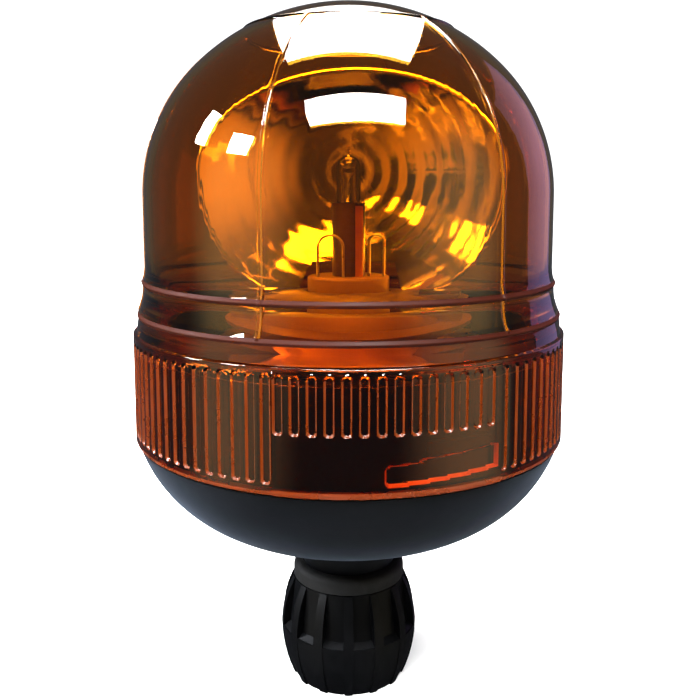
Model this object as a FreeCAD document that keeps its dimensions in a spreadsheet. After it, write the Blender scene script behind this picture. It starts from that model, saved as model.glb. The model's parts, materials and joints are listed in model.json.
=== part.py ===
import FreeCAD, Part
import math
import os
import Sketcher
from FreeCAD import Placement, Rotation, Vector

# Rotating warning beacon on a pole socket. Millimetres, +Z up, the axis of the lamp on Z, and the origin at
# the centre of the clamp collar's lower face. The back of the reflector points towards +Y at rest.

doc = FreeCAD.newDocument("warning_beacon")
sheet = doc.addObject("Spreadsheet::Sheet", "dims")

SIZES = {
    # clearances
    "running_gap": 0.05,
    "fit_gap": 0.1,
    "open_gap": 0.3,
    # pole socket, collar and grip
    "pole_bore_rad": 12.25,
    "pole_depth": 36.0,
    "socket_foot": 20.0,
    "socket_wall": 1.6,
    "socket_flange_rad": 23.0,
    "socket_flange": 3.0,
    "socket_head": 14.4,
    "socket_screw_ring": 18.5,
    "socket_screw_count": 3.0,
    "socket_screw_turn": 60.0,
    "stop_flange": 3.0,
    "stop_bore_rad": 9.8,
    "collar_tall": 34.3,
    "collar_foot_rad": 19.3,
    "collar_wide_rad": 23.3,
    "collar_wide_at": 18.0,
    "collar_rim_rad": 19.2,
    "collar_web": 4.0,
    "collar_bore_rad": 17.6,
    "collar_rib_count": 14.0,
    "collar_rib_angle": 8.0,
    "pocket_floor_rad": 20.9,
    "pocket_rim_in": 0.3,
    "pocket_rise": 1.5,
    "pocket_lip": 0.4,
    "pocket_runout": 1.0,
    "flute_step": 1.0,
    "flute_depth": 0.1,
    "flute_relief": 0.6,
    "thrust_foot": 3.5,
    "thrust_thick": 4.5,
    "grip_wall": 4.4,
    "snap_thick": 1.2,
    "snap_groove": 0.6,
    "snap_reach": 3.0,
    "snap_mouth": 30.0,
    # neck, gland and bowl
    "neck_rad": 15.6,
    "neck_top_rad": 20.0,
    "gland_rad": 19.0,
    "gland_tall": 5.2,
    "gland_round": 2.0,
    "bowl_foot": 54.6,
    "bowl_flat_rad": 26.1,
    "bowl_rim": 86.5,
    "bowl_wall": 3.0,
    "seat_play": 2.8,
    "seat_wall": 2.6,
    "seat_top": 116.0,
    "seal_thick": 1.0,
    # lens and its bayonet
    "lens_foot_rad": 70.5,
    "lens_overhang": 0.8,
    "lens_band_out": 0.1,
    "lens_band_top": 121.2,
    "lens_ledge_in": 2.1,
    "lens_shoulder_in": 0.2,
    "lens_shoulder_up": 2.3,
    "lens_ledge_half": 1.0,
    "lens_ledge": 127.5,
    "lens_waist_in": 1.4,
    "lens_waist": 132.0,
    "lens_bead": 137.5,
    "lens_bead_size": 0.5,
    "lens_barrel_in": 0.8,
    "lens_spring": 164.7,
    "lens_knuckle_in": 8.3,
    "lens_dome_rise": 3.4,
    "lens_wall": 2.2,
    "panel_proud": 0.45,
    "panel_angle": 52.0,
    "panel_turn": -80.0,
    "panel_tall": 31.0,
    "rib_count": 6.0,
    "rib_wide": 1.2,
    "rib_proud": 0.5,
    "rib_turn": -110.4,
    "crown_rad": 33.7,
    "bayonet_count": 3.0,
    "ramp_angle": 28.0,
    "ramp_turn": -68.0,
    "ramp_foot": 90.0,
    "ramp_tall": 7.0,
    "lug_angle": 16.0,
    "lug_turn": -64.0,
    "lug_tall": 3.5,
    "gasket_thick": 0.6,
    "gasket_inset": 0.5,
    # chassis plate and lamp post
    "chassis_play": 2.9,
    "chassis_foot": 98.0,
    "chassis_thick": 2.0,
    "boss_inset": 10.0,
    "boss_rad": 4.0,
    "boss_count": 3.0,
    "boss_turn": 90.0,
    "post_rad": 6.0,
    "post_bore_rad": 2.6,
    "post_shank_rad": 5.0,
    "post_shank": 7.0,
    "post_flange_rad": 10.0,
    "post_flange": 2.0,
    "post_top": 131.0,
    "post_nut_wide": 14.0,
    "post_nut": 4.0,
    "washer_thick": 0.6,
    # rotor
    "rotor_turn": -7.6,
    "bush_wall": 2.0,
    "hub_rad": 11.0,
    "hub_foot": 103.5,
    "hub_step_rad": 13.0,
    "disc_rad": 42.0,
    "disc_foot": 118.7,
    "disc_thick": 2.0,
    "shroud_rad": 34.0,
    "shroud_top": 129.0,
    "shroud_wall": 1.6,
    "shroud_mouth_rad": 14.6,
    "foot_at": 29.0,
    "foot_wide": 18.0,
    "foot_deep": 12.0,
    "foot_tall": 7.0,
    "tab_at": 31.0,
    "tab_wide": 13.4,
    "reflector_focus": 24.0,
    "reflector_axis": 173.0,
    "reflector_rad": 51.0,
    "reflector_crown": 34.5,
    "reflector_wall": 1.6,
    "reflector_tab": 1.6,
    "reflector_spare": 2.0,
    "reflector_tab_lap": 0.96,
    "reflector_head_room": 8.0,
    "notch_top_wide": 14.6,
    "notch_foot_wide": 19.0,
    "notch_top": 141.5,
    # gears
    "pressure_angle": 25.0,
    "tooth_addendum": 0.8,
    "tooth_dedendum": 1.05,
    "backlash": 0.12,
    "slow_module": 0.8,
    "fast_module": 0.6,
    "rotor_teeth": 60.0,
    "idler_pinion_teeth": 12.0,
    "idler_wheel_teeth": 40.0,
    "motor_teeth": 10.0,
    "rotor_gear_foot": 105.5,
    "rotor_gear_tall": 5.0,
    "idler_wheel_tall": 3.5,
    "idler_pinion_tall": 7.0,
    "idler_pin_rad": 2.0,
    "idler_flange": 0.7,
    "idler_flange_out": 1.4,
    # lamp
    "holder_rad": 13.75,
    "holder_foot": 126.0,
    "holder_top": 137.0,
    "holder_round": 1.0,
    "stem_rad": 5.45,
    "stem_top": 162.5,
    "stem_socket": 8.0,
    "stem_wall": 0.5,
    "strip_wide": 2.5,
    "strip_thick": 0.8,
    "strip_at": 3.45,
    "strip_short": 1.0,
    "capsule_rad": 4.0,
    "capsule_wall": 0.6,
    "capsule_foot": 157.0,
    "capsule_top": 178.0,
    "capsule_tip": 2.0,
    "capsule_neck": 0.6,
    "capsule_tip_rad": 0.36,
    "cap_sunk": 0.5,
    "filament_at": 173.0,
    "filament_wide": 4.4,
    "filament_coil_rad": 0.7,
    "filament_wire_rad": 0.15,
    "filament_turns": 8.0,
    "clip_wire_rad": 0.45,
    "clip_top": 152.4,
    "left_clip_at": -5.9,
    "left_clip_wide": 9.2,
    "right_clip_at": 9.2,
    "right_clip_wide": 5.8,
    "clip_forward": 6.6,
    # contacts
    "carrier_floor": 2.5,
    "carrier_tall": 14.0,
    "carrier_bore_rad": 6.0,
    "contact_rad": 2.95,
    "contact_bevel": 0.6,
    "contact_flange_rad": 5.7,
    "contact_flange": 1.6,
    "contact_stem_rad": 1.9,
    "contact_stem": 3.9,
    "contact_tip_back": 0.3,
    "spring_rad": 3.6,
    "spring_wire_rad": 0.35,
    "spring_turns": 6.0,
    "terminal_rad": 8.5,
    "terminal_thick": 0.8,
    "terminal_tab": 6.0,
    "terminal_tab_wide": 6.0,
    "earth_ring_rad": 12.5,
    "earth_ring": 0.9,
    "earth_groove": 1.0,
    "earth_strip_at": 10.6,
    "earth_strip_thick": 0.7,
    "earth_strip_wide": 4.0,
    "earth_strip_top": 79.0,
    # motor
    "motor_rad": 12.0,
    "motor_long": 28.0,
    "motor_wall": 1.0,
    "motor_nose_rad": 3.0,
    "motor_nose": 1.6,
    "motor_cap": 2.0,
    "motor_shaft_rad": 1.0,
    "motor_shaft_up": 7.2,
    "magnet_thick": 1.9,
    "magnet_tall": 18.0,
    "magnet_angle": 130.0,
    "magnet_count": 2.0,
    "armature_rad": 8.3,
    "armature_tall": 16.0,
    "armature_inset": 1.0,
    "armature_poles": 3.0,
    "armature_slot": 1.6,
    "motor_screw_ring": 8.0,
    "motor_screw_count": 2.0,
    "motor_screw_turn": 90.0,
    # screws: shank radius, head radius, head height, shank length
    "screw_rad": 1.5,
    "screw_head_rad": 3.2,
    "screw_head": 2.2,
    "chassis_screw_long": 11.0,
    "small_screw_rad": 1.2,
    "small_head_rad": 2.3,
    "small_head": 1.4,
    "small_screw_long": 6.5,
    "socket_screw_short": 0.6,
    "earth_screw_past": 2.0,
    "recess_wide": 0.8,
    # suppressor and wires
    "suppressor_long": 13.0,
    "suppressor_wide": 7.0,
    "suppressor_tall": 11.0,
    "suppressor_out": 30.0,
    "suppressor_round": 1.2,
    "earth_screw_out": 24.0,
    "earth_tag_thick": 0.8,
    "earth_tag_rad": 3.6,
    "wire_rad": 0.9,
}


class Size:
    """A number together with the spreadsheet formula that it comes from."""

    def __init__(self, value, text):
        self.value = value
        self.text = text

    def __add__(self, other):
        other = as_size(other)
        return Size(self.value + other.value, f"({self.text} + {other.text})")

    def __radd__(self, other):
        return as_size(other) + self

    def __sub__(self, other):
        other = as_size(other)
        return Size(self.value - other.value, f"({self.text} - {other.text})")

    def __rsub__(self, other):
        return as_size(other) - self

    def __mul__(self, other):
        other = as_size(other)
        return Size(self.value * other.value, f"({self.text} * {other.text})")

    def __rmul__(self, other):
        return as_size(other) * self

    def __truediv__(self, other):
        other = as_size(other)
        return Size(self.value / other.value, f"({self.text} / {other.text})")

    def __rtruediv__(self, other):
        return as_size(other) / self

    def __neg__(self):
        return Size(-self.value, f"(0 - {self.text})")


def as_size(number):
    return number if isinstance(number, Size) else Size(float(number), repr(float(number)))


def root_of(size):
    return Size(math.sqrt(size.value), f"sqrt({size.text})")


def square(size):
    return size * size


class Dims:
    """Reads a driving dimension out of the spreadsheet by its alias."""

    def __getattr__(self, name):
        return Size(float(sheet.get(name)), f"dims.{name}")


for row, (alias, number) in enumerate(SIZES.items(), start=1):
    sheet.set(f"A{row}", alias.replace("_", " "))
    sheet.set(f"B{row}", str(number))
    sheet.setAlias(f"B{row}", alias)
doc.recompute()
d = Dims()

NODES = []


def node(thing, label):
    """Names a finished sub-part; its label is also the name of its file."""
    thing.Label = label
    NODES.append(thing)
    return thing


def bind(thing, path, size):
    thing.setExpression(path, as_size(size).text)


# ---------------------------------------------------------------------------------------------- sketches

def origin_feature(body, role):
    return next(part for part in body.Origin.OriginFeatures if part.Role == role)


def new_body(name):
    return doc.addObject("PartDesign::Body", name)


def new_sketch(body, plane, height=0, turn=0):
    """A sketch on one of the body's own planes, raised by height and turned about the body's Z axis."""
    sketch = body.newObject("Sketcher::SketchObject", body.Name + "_sketch")
    sketch.AttachmentSupport = (origin_feature(body, plane), [""])
    sketch.MapMode = "FlatFace"
    upright = Vector(0, 0, 1) if plane == "XY_Plane" else Vector(0, 1, 0)
    sketch.AttachmentOffset = Placement(Vector(), Rotation(upright, as_size(turn).value))
    bind(sketch, "AttachmentOffset.Rotation.Angle", turn)
    if plane == "XY_Plane":
        bind(sketch, "AttachmentOffset.Base.z", height)
    return sketch


def pin_point(sketch, geometry, point, x, y):
    """Places one point of the sketch by two distances from its origin, bound to the sheet."""
    for kind, size in (("DistanceX", as_size(x)), ("DistanceY", as_size(y))):
        if size.text == "0.0":
            axis = -2 if kind == "DistanceX" else -1
            sketch.addConstraint(Sketcher.Constraint("PointOnObject", geometry, point, axis))
        else:
            made = Sketcher.Constraint(kind, -1, 1, geometry, point, size.value)
            index = sketch.addConstraint(made)
            sketch.setExpression(f"Constraints[{index}]", size.text)


def arc_between(start, end, radius):
    """An arc of less than half a turn; a positive radius turns left on the way from start to end."""
    chord = end - start
    middle = (start + end) * 0.5
    left = Vector(-chord.y, chord.x, 0).normalize()
    away = math.sqrt(max(radius * radius - (chord.Length / 2) ** 2, 0))
    centre = middle + left * math.copysign(away, radius)
    first, last = (start, end) if radius > 0 else (end, start)
    begin = math.atan2(first.y - centre.y, first.x - centre.x)
    finish = math.atan2(last.y - centre.y, last.x - centre.x)
    circle = Part.Circle(centre, Vector(0, 0, 1), abs(radius))
    return Part.ArcOfCircle(circle, begin, finish)


def outline(sketch, corners):
    """Draws a closed outline. A corner is (x, y), or (x, y, radius) where an arc leads on from it."""
    spots = [Vector(as_size(corner[0]).value, as_size(corner[1]).value, 0) for corner in corners]
    count = len(corners)
    pieces = []
    for index, corner in enumerate(corners):
        start, end = spots[index], spots[(index + 1) % count]
        if len(corner) == 2:
            geometry = sketch.addGeometry(Part.LineSegment(start, end), False)
            pieces.append((geometry, 1, 2))
            continue
        radius = as_size(corner[2])
        geometry = sketch.addGeometry(arc_between(start, end, radius.value), False)
        pieces.append((geometry, 1, 2) if radius.value > 0 else (geometry, 2, 1))
        size = radius if radius.value > 0 else -radius
        index = sketch.addConstraint(Sketcher.Constraint("Radius", geometry, size.value))
        sketch.setExpression(f"Constraints[{index}]", size.text)
    for index, (geometry, start, end) in enumerate(pieces):
        onward, onward_start, _ = pieces[(index + 1) % count]
        joint = Sketcher.Constraint("Coincident", geometry, end, onward, onward_start)
        sketch.addConstraint(joint)
        pin_point(sketch, geometry, start, corners[index][0], corners[index][1])


def ring_of(sketch, x, y, radius):
    """Draws a circle round (x, y)."""
    radius = as_size(radius)
    centre = Vector(as_size(x).value, as_size(y).value, 0)
    geometry = sketch.addGeometry(Part.Circle(centre, Vector(0, 0, 1), radius.value), False)
    pin_point(sketch, geometry, 3, x, y)
    index = sketch.addConstraint(Sketcher.Constraint("Radius", geometry, radius.value))
    sketch.setExpression(f"Constraints[{index}]", radius.text)


def rectangle(left, right, low, high):
    return [(left, low), (right, low), (right, high), (left, high)]


# ---------------------------------------------------------------------------------------------- features

def turn_feature(body, kind, corners, angle=360, turn=0, shaft=None):
    """A Revolution or Groove about the body's Z axis, or about a line at the radius given by shaft."""
    sketch = new_sketch(body, "XZ_Plane", turn=turn)
    outline(sketch, corners)
    feature = body.newObject(f"PartDesign::{kind}", f"{body.Name}_{kind.lower()}")
    feature.Profile = sketch
    if shaft is None:
        feature.ReferenceAxis = (sketch, ["V_Axis"])
    else:
        low = Vector(shaft.value, 0, 0)
        line = sketch.addGeometry(Part.LineSegment(low, low + Vector(0, 1, 0)), True)
        sketch.addConstraint(Sketcher.Constraint("Vertical", line))
        sketch.addConstraint(Sketcher.Constraint("Distance", line, 1.0))
        pin_point(sketch, line, 1, shaft, 0)
        feature.ReferenceAxis = (sketch, ["Axis0"])
    bind(feature, "Angle", angle)
    feature.Midplane = as_size(angle).value < 360
    return feature


def pad_feature(body, kind, height, length, turn=0, outlines=(), circles=()):
    """A Pad upwards from the height, or a Pocket downwards from it."""
    sketch = new_sketch(body, "XY_Plane", height=height, turn=turn)
    for corners in outlines:
        outline(sketch, corners)
    for x, y, radius in circles:
        ring_of(sketch, x, y, radius)
    feature = body.newObject(f"PartDesign::{kind}", f"{body.Name}_{kind.lower()}")
    feature.Profile = sketch
    bind(feature, "Length", length)
    return feature


def round_pattern(body, features, count):
    """Repeats the features evenly round the body's Z axis."""
    pattern = body.newObject("PartDesign::PolarPattern", f"{body.Name}_pattern")
    pattern.Originals = features
    pattern.Axis = (origin_feature(body, "Z_Axis"), [""])
    pattern.Angle = 360
    bind(pattern, "Occurrences", count)
    body.Tip = pattern
    doc.recompute()
    return pattern


def turned(label, corners, angle=360, turn=0):
    body = new_body(label)
    turn_feature(body, "Revolution", corners, angle, turn)
    return node(body, label)


def tube(label, inner, outer, low, high):
    return turned(label, rectangle(inner, outer, low, high))


def move_to(thing, x, y, z=0):
    for letter, size in (("x", x), ("y", y), ("z", z)):
        bind(thing, f"Placement.Base.{letter}", size)


def screw_ring(label, ring, count, turn, seat, shank, sizes):
    """Screws round a ring, one solid each; the heads sit on the height given by seat."""
    shank_rad, head_rad, head = sizes
    body = new_body(label)
    body.AllowCompound = True
    round_over = head / 2
    profile = [
        (ring, seat - shank), (ring + shank_rad, seat - shank), (ring + shank_rad, seat),
        (ring + head_rad, seat), (ring + head_rad, seat + head - round_over, round_over),
        (ring + head_rad - round_over, seat + head), (ring, seat + head),
    ]
    screw = turn_feature(body, "Revolution", profile, turn=turn, shaft=ring)
    reach = head_rad * 0.62
    half = d.recess_wide / 2
    cross = [
        (ring - reach, -half), (ring - half, -half), (ring - half, -reach), (ring + half, -reach),
        (ring + half, -half), (ring + reach, -half), (ring + reach, half), (ring + half, half),
        (ring + half, reach), (ring - half, reach), (ring - half, half), (ring - reach, half),
    ]
    recess = pad_feature(body, "Pocket", seat + head, head * 0.6, turn, outlines=[cross])
    round_pattern(body, [screw, recess], count)
    return node(body, label)


def drill_ring(body, ring, radius, count, turn, top, depth):
    """Holes round a ring, drilled downwards from the height given by top."""
    hole = pad_feature(body, "Pocket", top, depth, turn, circles=[(ring, 0, radius)])
    return round_pattern(body, [hole], count)


def shaped(label, shape, place=None):
    """A sub-part whose shape comes from Part's own functions."""
    thing = doc.addObject("Part::Feature", label)
    thing.Shape = shape
    thing.Placement = (place or Placement()).multiply(shape.Placement)
    return node(thing, label)


# ------------------------------------------------------------------------------- heights that pieces share

GAP = d.open_gap
FIT = d.fit_gap
RUN = d.running_gap

socket_rad = d.pole_bore_rad + d.socket_wall
pole_stop = d.socket_foot + d.pole_depth
stop_foot = pole_stop + d.earth_groove
carrier_foot = stop_foot + d.stop_flange
neck_foot = d.collar_tall + GAP
neck_top = neck_foot + d.gland_tall + d.fit_gap
floor_top = d.bowl_foot + d.bowl_wall
seal_top = floor_top + d.seal_thick
flange_top = seal_top + d.socket_flange
socket_top = flange_top + d.socket_head
web_foot = d.collar_tall - d.collar_web
snap_foot = web_foot - GAP - d.snap_thick
lens_foot = d.bowl_rim + d.gasket_thick + FIT
plate_top = d.chassis_foot + d.chassis_thick
post_flange_top = plate_top + d.post_flange
bush_foot = post_flange_top + d.washer_thick + FIT
disc_top = d.disc_foot + d.disc_thick
bush_top = disc_top + GAP
feet_top = disc_top + d.foot_tall
tab_top = feet_top + d.reflector_tab
foot_line = -d.foot_deep / 2

# the lens foot sets the radii of the lens, its seat, the bowl and the chassis plate
lens_band_rad = d.lens_foot_rad + d.lens_band_out
lens_ledge_rad = lens_band_rad - d.lens_ledge_in
lens_waist_rad = lens_ledge_rad - d.lens_waist_in
lens_barrel_rad = lens_waist_rad - d.lens_barrel_in
lens_knuckle_rad = lens_barrel_rad - d.lens_knuckle_in
lens_dome_tall = lens_knuckle_rad + d.lens_dome_rise
ramp_reach = d.seat_play - GAP - FIT
seat_rad = d.lens_foot_rad - d.lens_wall - d.seat_play
bowl_rad = d.lens_foot_rad - d.lens_overhang
chassis_rad = seat_rad - d.seat_wall - d.chassis_play
boss_ring = chassis_rad - d.boss_inset

# the bowl's outer arc is tangent to its flat foot
bowl_arc = (square(bowl_rad - d.bowl_flat_rad) + square(d.bowl_rim - d.bowl_foot)) / (
    2 * (d.bowl_rim - d.bowl_foot))
bowl_centre = d.bowl_foot + bowl_arc


def bowl_height(radius, depth):
    """Height of the bowl's surface at a radius, on the sphere-like arc sunk by depth into the wall."""
    return bowl_centre - root_of(square(bowl_arc - depth) - square(radius - d.bowl_flat_rad))


# ----------------------------------------------------------------------------------- pole socket and grip

def pole_socket():
    body = new_body("pole_socket")
    groove = socket_rad - d.snap_groove
    counterbore = d.earth_ring_rad - d.earth_groove
    turn_feature(body, "Revolution", [
        (d.pole_bore_rad, d.socket_foot), (socket_rad, d.socket_foot), (socket_rad, snap_foot),
        (groove, snap_foot), (groove, snap_foot + d.snap_thick), (socket_rad, snap_foot + d.snap_thick),
        (socket_rad, seal_top), (d.socket_flange_rad, seal_top), (d.socket_flange_rad, flange_top),
        (socket_rad, flange_top), (socket_rad, socket_top), (counterbore, socket_top),
        (counterbore, carrier_foot), (d.stop_bore_rad, carrier_foot), (d.stop_bore_rad, stop_foot),
        (d.earth_ring_rad + RUN, stop_foot), (d.earth_ring_rad + RUN, pole_stop),
        (d.pole_bore_rad, pole_stop),
    ])
    slot = rectangle(d.earth_strip_at - FIT, d.earth_strip_at + d.earth_strip_thick + FIT,
                     -(d.earth_strip_wide / 2 + FIT), d.earth_strip_wide / 2 + FIT)
    pad_feature(body, "Pocket", carrier_foot, d.stop_flange, outlines=[slot])
    drill_ring(body, d.socket_screw_ring, d.screw_rad + GAP, d.socket_screw_count,
               d.socket_screw_turn, flange_top, d.socket_flange)
    return node(body, "pole_socket")


def clamp_collar():
    """The ribbed collar: two arcs meet at its widest height, and its pockets run out at the rim."""
    body = new_body("clamp_collar")
    foot_step = d.collar_wide_rad - d.collar_foot_rad
    foot_arc = (square(foot_step) + square(d.collar_wide_at)) / (2 * foot_step)
    rim_step = d.collar_wide_rad - d.collar_rim_rad
    rim_tall = d.collar_tall - d.collar_wide_at
    rim_arc = (square(rim_step) + square(rim_tall)) / (2 * rim_step)
    turn_feature(body, "Revolution", [
        (d.collar_bore_rad, 0), (d.collar_foot_rad, 0, foot_arc),
        (d.collar_wide_rad, d.collar_wide_at, rim_arc), (d.collar_rim_rad, d.collar_tall),
        (socket_rad + GAP, d.collar_tall), (socket_rad + GAP, web_foot), (d.collar_bore_rad, web_foot),
    ])
    outside = 2 * d.collar_wide_rad
    pocket_top = d.collar_tall + d.pocket_runout
    flute_top = d.collar_wide_at - d.flute_step
    pocket_angle = 360 / d.collar_rib_count - d.collar_rib_angle
    half_pitch = -90 + 180 / d.collar_rib_count
    upper = turn_feature(body, "Groove", [
        (outside, d.collar_wide_at), (outside, pocket_top), (d.collar_rim_rad - d.pocket_rim_in, pocket_top),
        (d.pocket_floor_rad, d.collar_wide_at + d.pocket_rise),
        (d.collar_wide_rad - d.pocket_lip, d.collar_wide_at),
    ], pocket_angle, half_pitch)
    lower = turn_feature(body, "Groove", [
        (d.collar_foot_rad - d.flute_relief, 0, foot_arc), (d.collar_wide_rad - d.flute_depth, flute_top),
        (outside, flute_top), (outside, 0),
    ], pocket_angle, half_pitch)
    round_pattern(body, [upper, lower], d.collar_rib_count)
    return node(body, "clamp_collar")


def collar_parts():
    thrust_top = d.thrust_foot + d.thrust_thick
    sleeve_inner = d.pole_bore_rad + FIT
    tube("thrust_ring", d.pole_bore_rad + GAP, d.collar_bore_rad - GAP, d.thrust_foot, thrust_top)
    tube("grip_sleeve", sleeve_inner, sleeve_inner + d.grip_wall, thrust_top, d.socket_foot)
    snap_inner = socket_rad - d.snap_groove + RUN
    turned("collar_clip", rectangle(snap_inner, snap_inner + d.snap_reach, snap_foot + RUN,
                                    snap_foot + d.snap_thick - RUN), 360 - d.snap_mouth)


def neck_gland():
    inner = d.neck_rad + RUN
    top = neck_foot + d.gland_tall
    turned("neck_gland", [
        (inner, neck_foot), (d.gland_rad, neck_foot), (d.gland_rad, top - d.gland_round, d.gland_round),
        (d.gland_rad - d.gland_round, top), (inner, top),
    ])


# -------------------------------------------------------------------------------------------- base bowl

def base_bowl():
    body = new_body("base_bowl")
    seat_inner = seat_rad - d.seat_wall
    inner_arc = bowl_arc - d.bowl_wall
    bore = socket_rad + FIT
    turn_feature(body, "Revolution", [
        (bore, neck_foot), (d.neck_rad, neck_foot), (d.neck_rad, neck_top),
        (d.neck_top_rad, d.bowl_foot), (d.bowl_flat_rad, d.bowl_foot, bowl_arc),
        (bowl_rad, d.bowl_rim), (seat_rad, d.bowl_rim), (seat_rad, d.seat_top),
        (seat_inner, d.seat_top), (seat_inner, bowl_height(seat_inner, d.bowl_wall), -inner_arc),
        (d.bowl_flat_rad, floor_top), (bore, floor_top),
    ])
    boss_foot = bowl_height(boss_ring + d.boss_rad, d.bowl_wall / 2)
    boss = pad_feature(body, "Pad", boss_foot, d.chassis_foot - boss_foot, d.boss_turn,
                       circles=[(boss_ring, 0, d.boss_rad)])
    round_pattern(body, [boss], d.boss_count)
    screw_depth = d.chassis_screw_long - d.chassis_thick + GAP
    drill_ring(body, boss_ring, d.screw_rad + RUN, d.boss_count, d.boss_turn, d.chassis_foot, screw_depth)
    lug_foot = d.ramp_foot + d.ramp_tall + GAP
    lug = turn_feature(body, "Revolution", rectangle(
        seat_rad - d.seat_wall / 2, seat_rad + d.seat_play - GAP, lug_foot, lug_foot + d.lug_tall),
        d.lug_angle, d.lug_turn)
    round_pattern(body, [lug], d.bayonet_count)
    drill_ring(body, d.socket_screw_ring, d.screw_rad + RUN, d.socket_screw_count,
               d.socket_screw_turn, floor_top, d.bowl_wall - GAP - FIT)
    return node(body, "base_bowl")


def seals():
    body = new_body("socket_seal")
    turn_feature(body, "Revolution",
                 rectangle(socket_rad + GAP, d.socket_flange_rad, floor_top, seal_top))
    drill_ring(body, d.socket_screw_ring, d.screw_rad + GAP, d.socket_screw_count,
               d.socket_screw_turn, seal_top, d.seal_thick)
    node(body, "socket_seal")
    tube("lens_gasket", seat_rad + d.gasket_inset, bowl_rad - d.gasket_inset, d.bowl_rim,
         d.bowl_rim + d.gasket_thick)


# ------------------------------------------------------------------------------------------------- lens

def dome_arcs(inset):
    """Knuckle and crown of the dome: two arcs that meet tangentially, as (corner, knuckle, crown, top)."""
    barrel = lens_barrel_rad - inset
    knuckle = lens_knuckle_rad - inset
    tall = lens_dome_tall - inset
    shift = barrel - knuckle
    crown = (square(shift) + square(tall) - square(knuckle)) / (2 * (tall - knuckle))
    drop = crown - tall
    share = crown / (crown - knuckle)
    corner_rad = shift * share
    corner_up = drop * share - drop
    return (corner_rad, d.lens_spring + corner_up), knuckle, crown, (0, d.lens_spring + tall)


def lens_dome():
    body = new_body("lens_dome")
    wall = d.lens_wall
    corner, knuckle, crown, top = dome_arcs(0)
    inner_corner, inner_knuckle, inner_crown, inner_top = dome_arcs(wall)
    barrel = lens_barrel_rad
    bead = d.lens_bead_size
    band_inner = d.lens_foot_rad - wall
    turn_feature(body, "Revolution", [
        (band_inner, lens_foot), (d.lens_foot_rad, lens_foot), (lens_band_rad, d.lens_band_top),
        (lens_band_rad - d.lens_shoulder_in, d.lens_band_top + d.lens_shoulder_up),
        (lens_ledge_rad, d.lens_ledge - d.lens_ledge_half),
        (lens_ledge_rad, d.lens_ledge + d.lens_ledge_half), (lens_waist_rad, d.lens_waist),
        (lens_waist_rad, d.lens_bead - bead * 2), (lens_waist_rad + bead, d.lens_bead),
        (barrel, d.lens_bead + bead * 3), (barrel, d.lens_spring, knuckle),
        (corner[0], corner[1], crown), top,
        (0, inner_top[1], -inner_crown), (inner_corner[0], inner_corner[1], -inner_knuckle),
        (barrel - wall, d.lens_spring), (barrel - wall, d.lens_ledge), (band_inner, d.lens_band_top - wall),
    ])
    panel = turn_feature(body, "Revolution", rectangle(
        d.lens_foot_rad - wall / 2, lens_band_rad + d.panel_proud, lens_foot, lens_foot + d.panel_tall),
        d.panel_angle, d.panel_turn)
    ramp = turn_feature(body, "Revolution", rectangle(
        band_inner - ramp_reach, d.lens_foot_rad - wall / 2, d.ramp_foot, d.ramp_foot + d.ramp_tall),
        d.ramp_angle, d.ramp_turn)
    round_pattern(body, [panel, ramp], d.bayonet_count)
    rib_corner, rib_knuckle, rib_crown, _ = dome_arcs(-d.rib_proud)
    core_corner, core_knuckle, core_crown, _ = dome_arcs(wall / 2)
    crown_centre = top[1] - crown
    rib_end = crown_centre + root_of(square(rib_crown) - square(d.crown_rad))
    core_end = crown_centre + root_of(square(core_crown) - square(d.crown_rad))
    rib = turn_feature(body, "Revolution", [
        (barrel - wall / 2, d.lens_ledge), (barrel + d.rib_proud, d.lens_ledge),
        (barrel + d.rib_proud, d.lens_spring, rib_knuckle), (rib_corner[0], rib_corner[1], rib_crown),
        (d.crown_rad, rib_end), (d.crown_rad, core_end, -core_crown),
        (core_corner[0], core_corner[1], -core_knuckle), (barrel - wall / 2, d.lens_spring),
    ], d.rib_wide / barrel * math.degrees(1), d.rib_turn)
    round_pattern(body, [rib], d.rib_count)
    turn_feature(body, "Revolution", rectangle(
        d.crown_rad - d.rib_wide / 2, d.crown_rad + d.rib_wide / 2, core_end, rib_end))
    return node(body, "lens_dome")


# ------------------------------------------------------------------------------------- chassis and post

idler_out = (d.rotor_teeth + d.idler_pinion_teeth) * d.slow_module / 2
motor_along = (d.idler_wheel_teeth + d.motor_teeth) * d.fast_module / 2
earth_across = -d.earth_screw_out / 2


def chassis_plate():
    body = new_body("chassis_plate")
    hole = d.small_screw_rad + FIT
    pad_feature(body, "Pad", d.chassis_foot, d.chassis_thick, circles=[
        (0, 0, chassis_rad),
        (0, 0, d.post_shank_rad + FIT),
        (0, idler_out, d.idler_pin_rad + RUN),
        (motor_along, idler_out, d.motor_nose_rad + FIT),
        (motor_along, idler_out + d.motor_screw_ring, hole),
        (motor_along, idler_out - d.motor_screw_ring, hole),
        (d.earth_screw_out, earth_across, hole),
    ])
    drill_ring(body, boss_ring, d.screw_rad + GAP, d.boss_count, d.boss_turn, plate_top, d.chassis_thick)
    return node(body, "chassis_plate")


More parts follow.
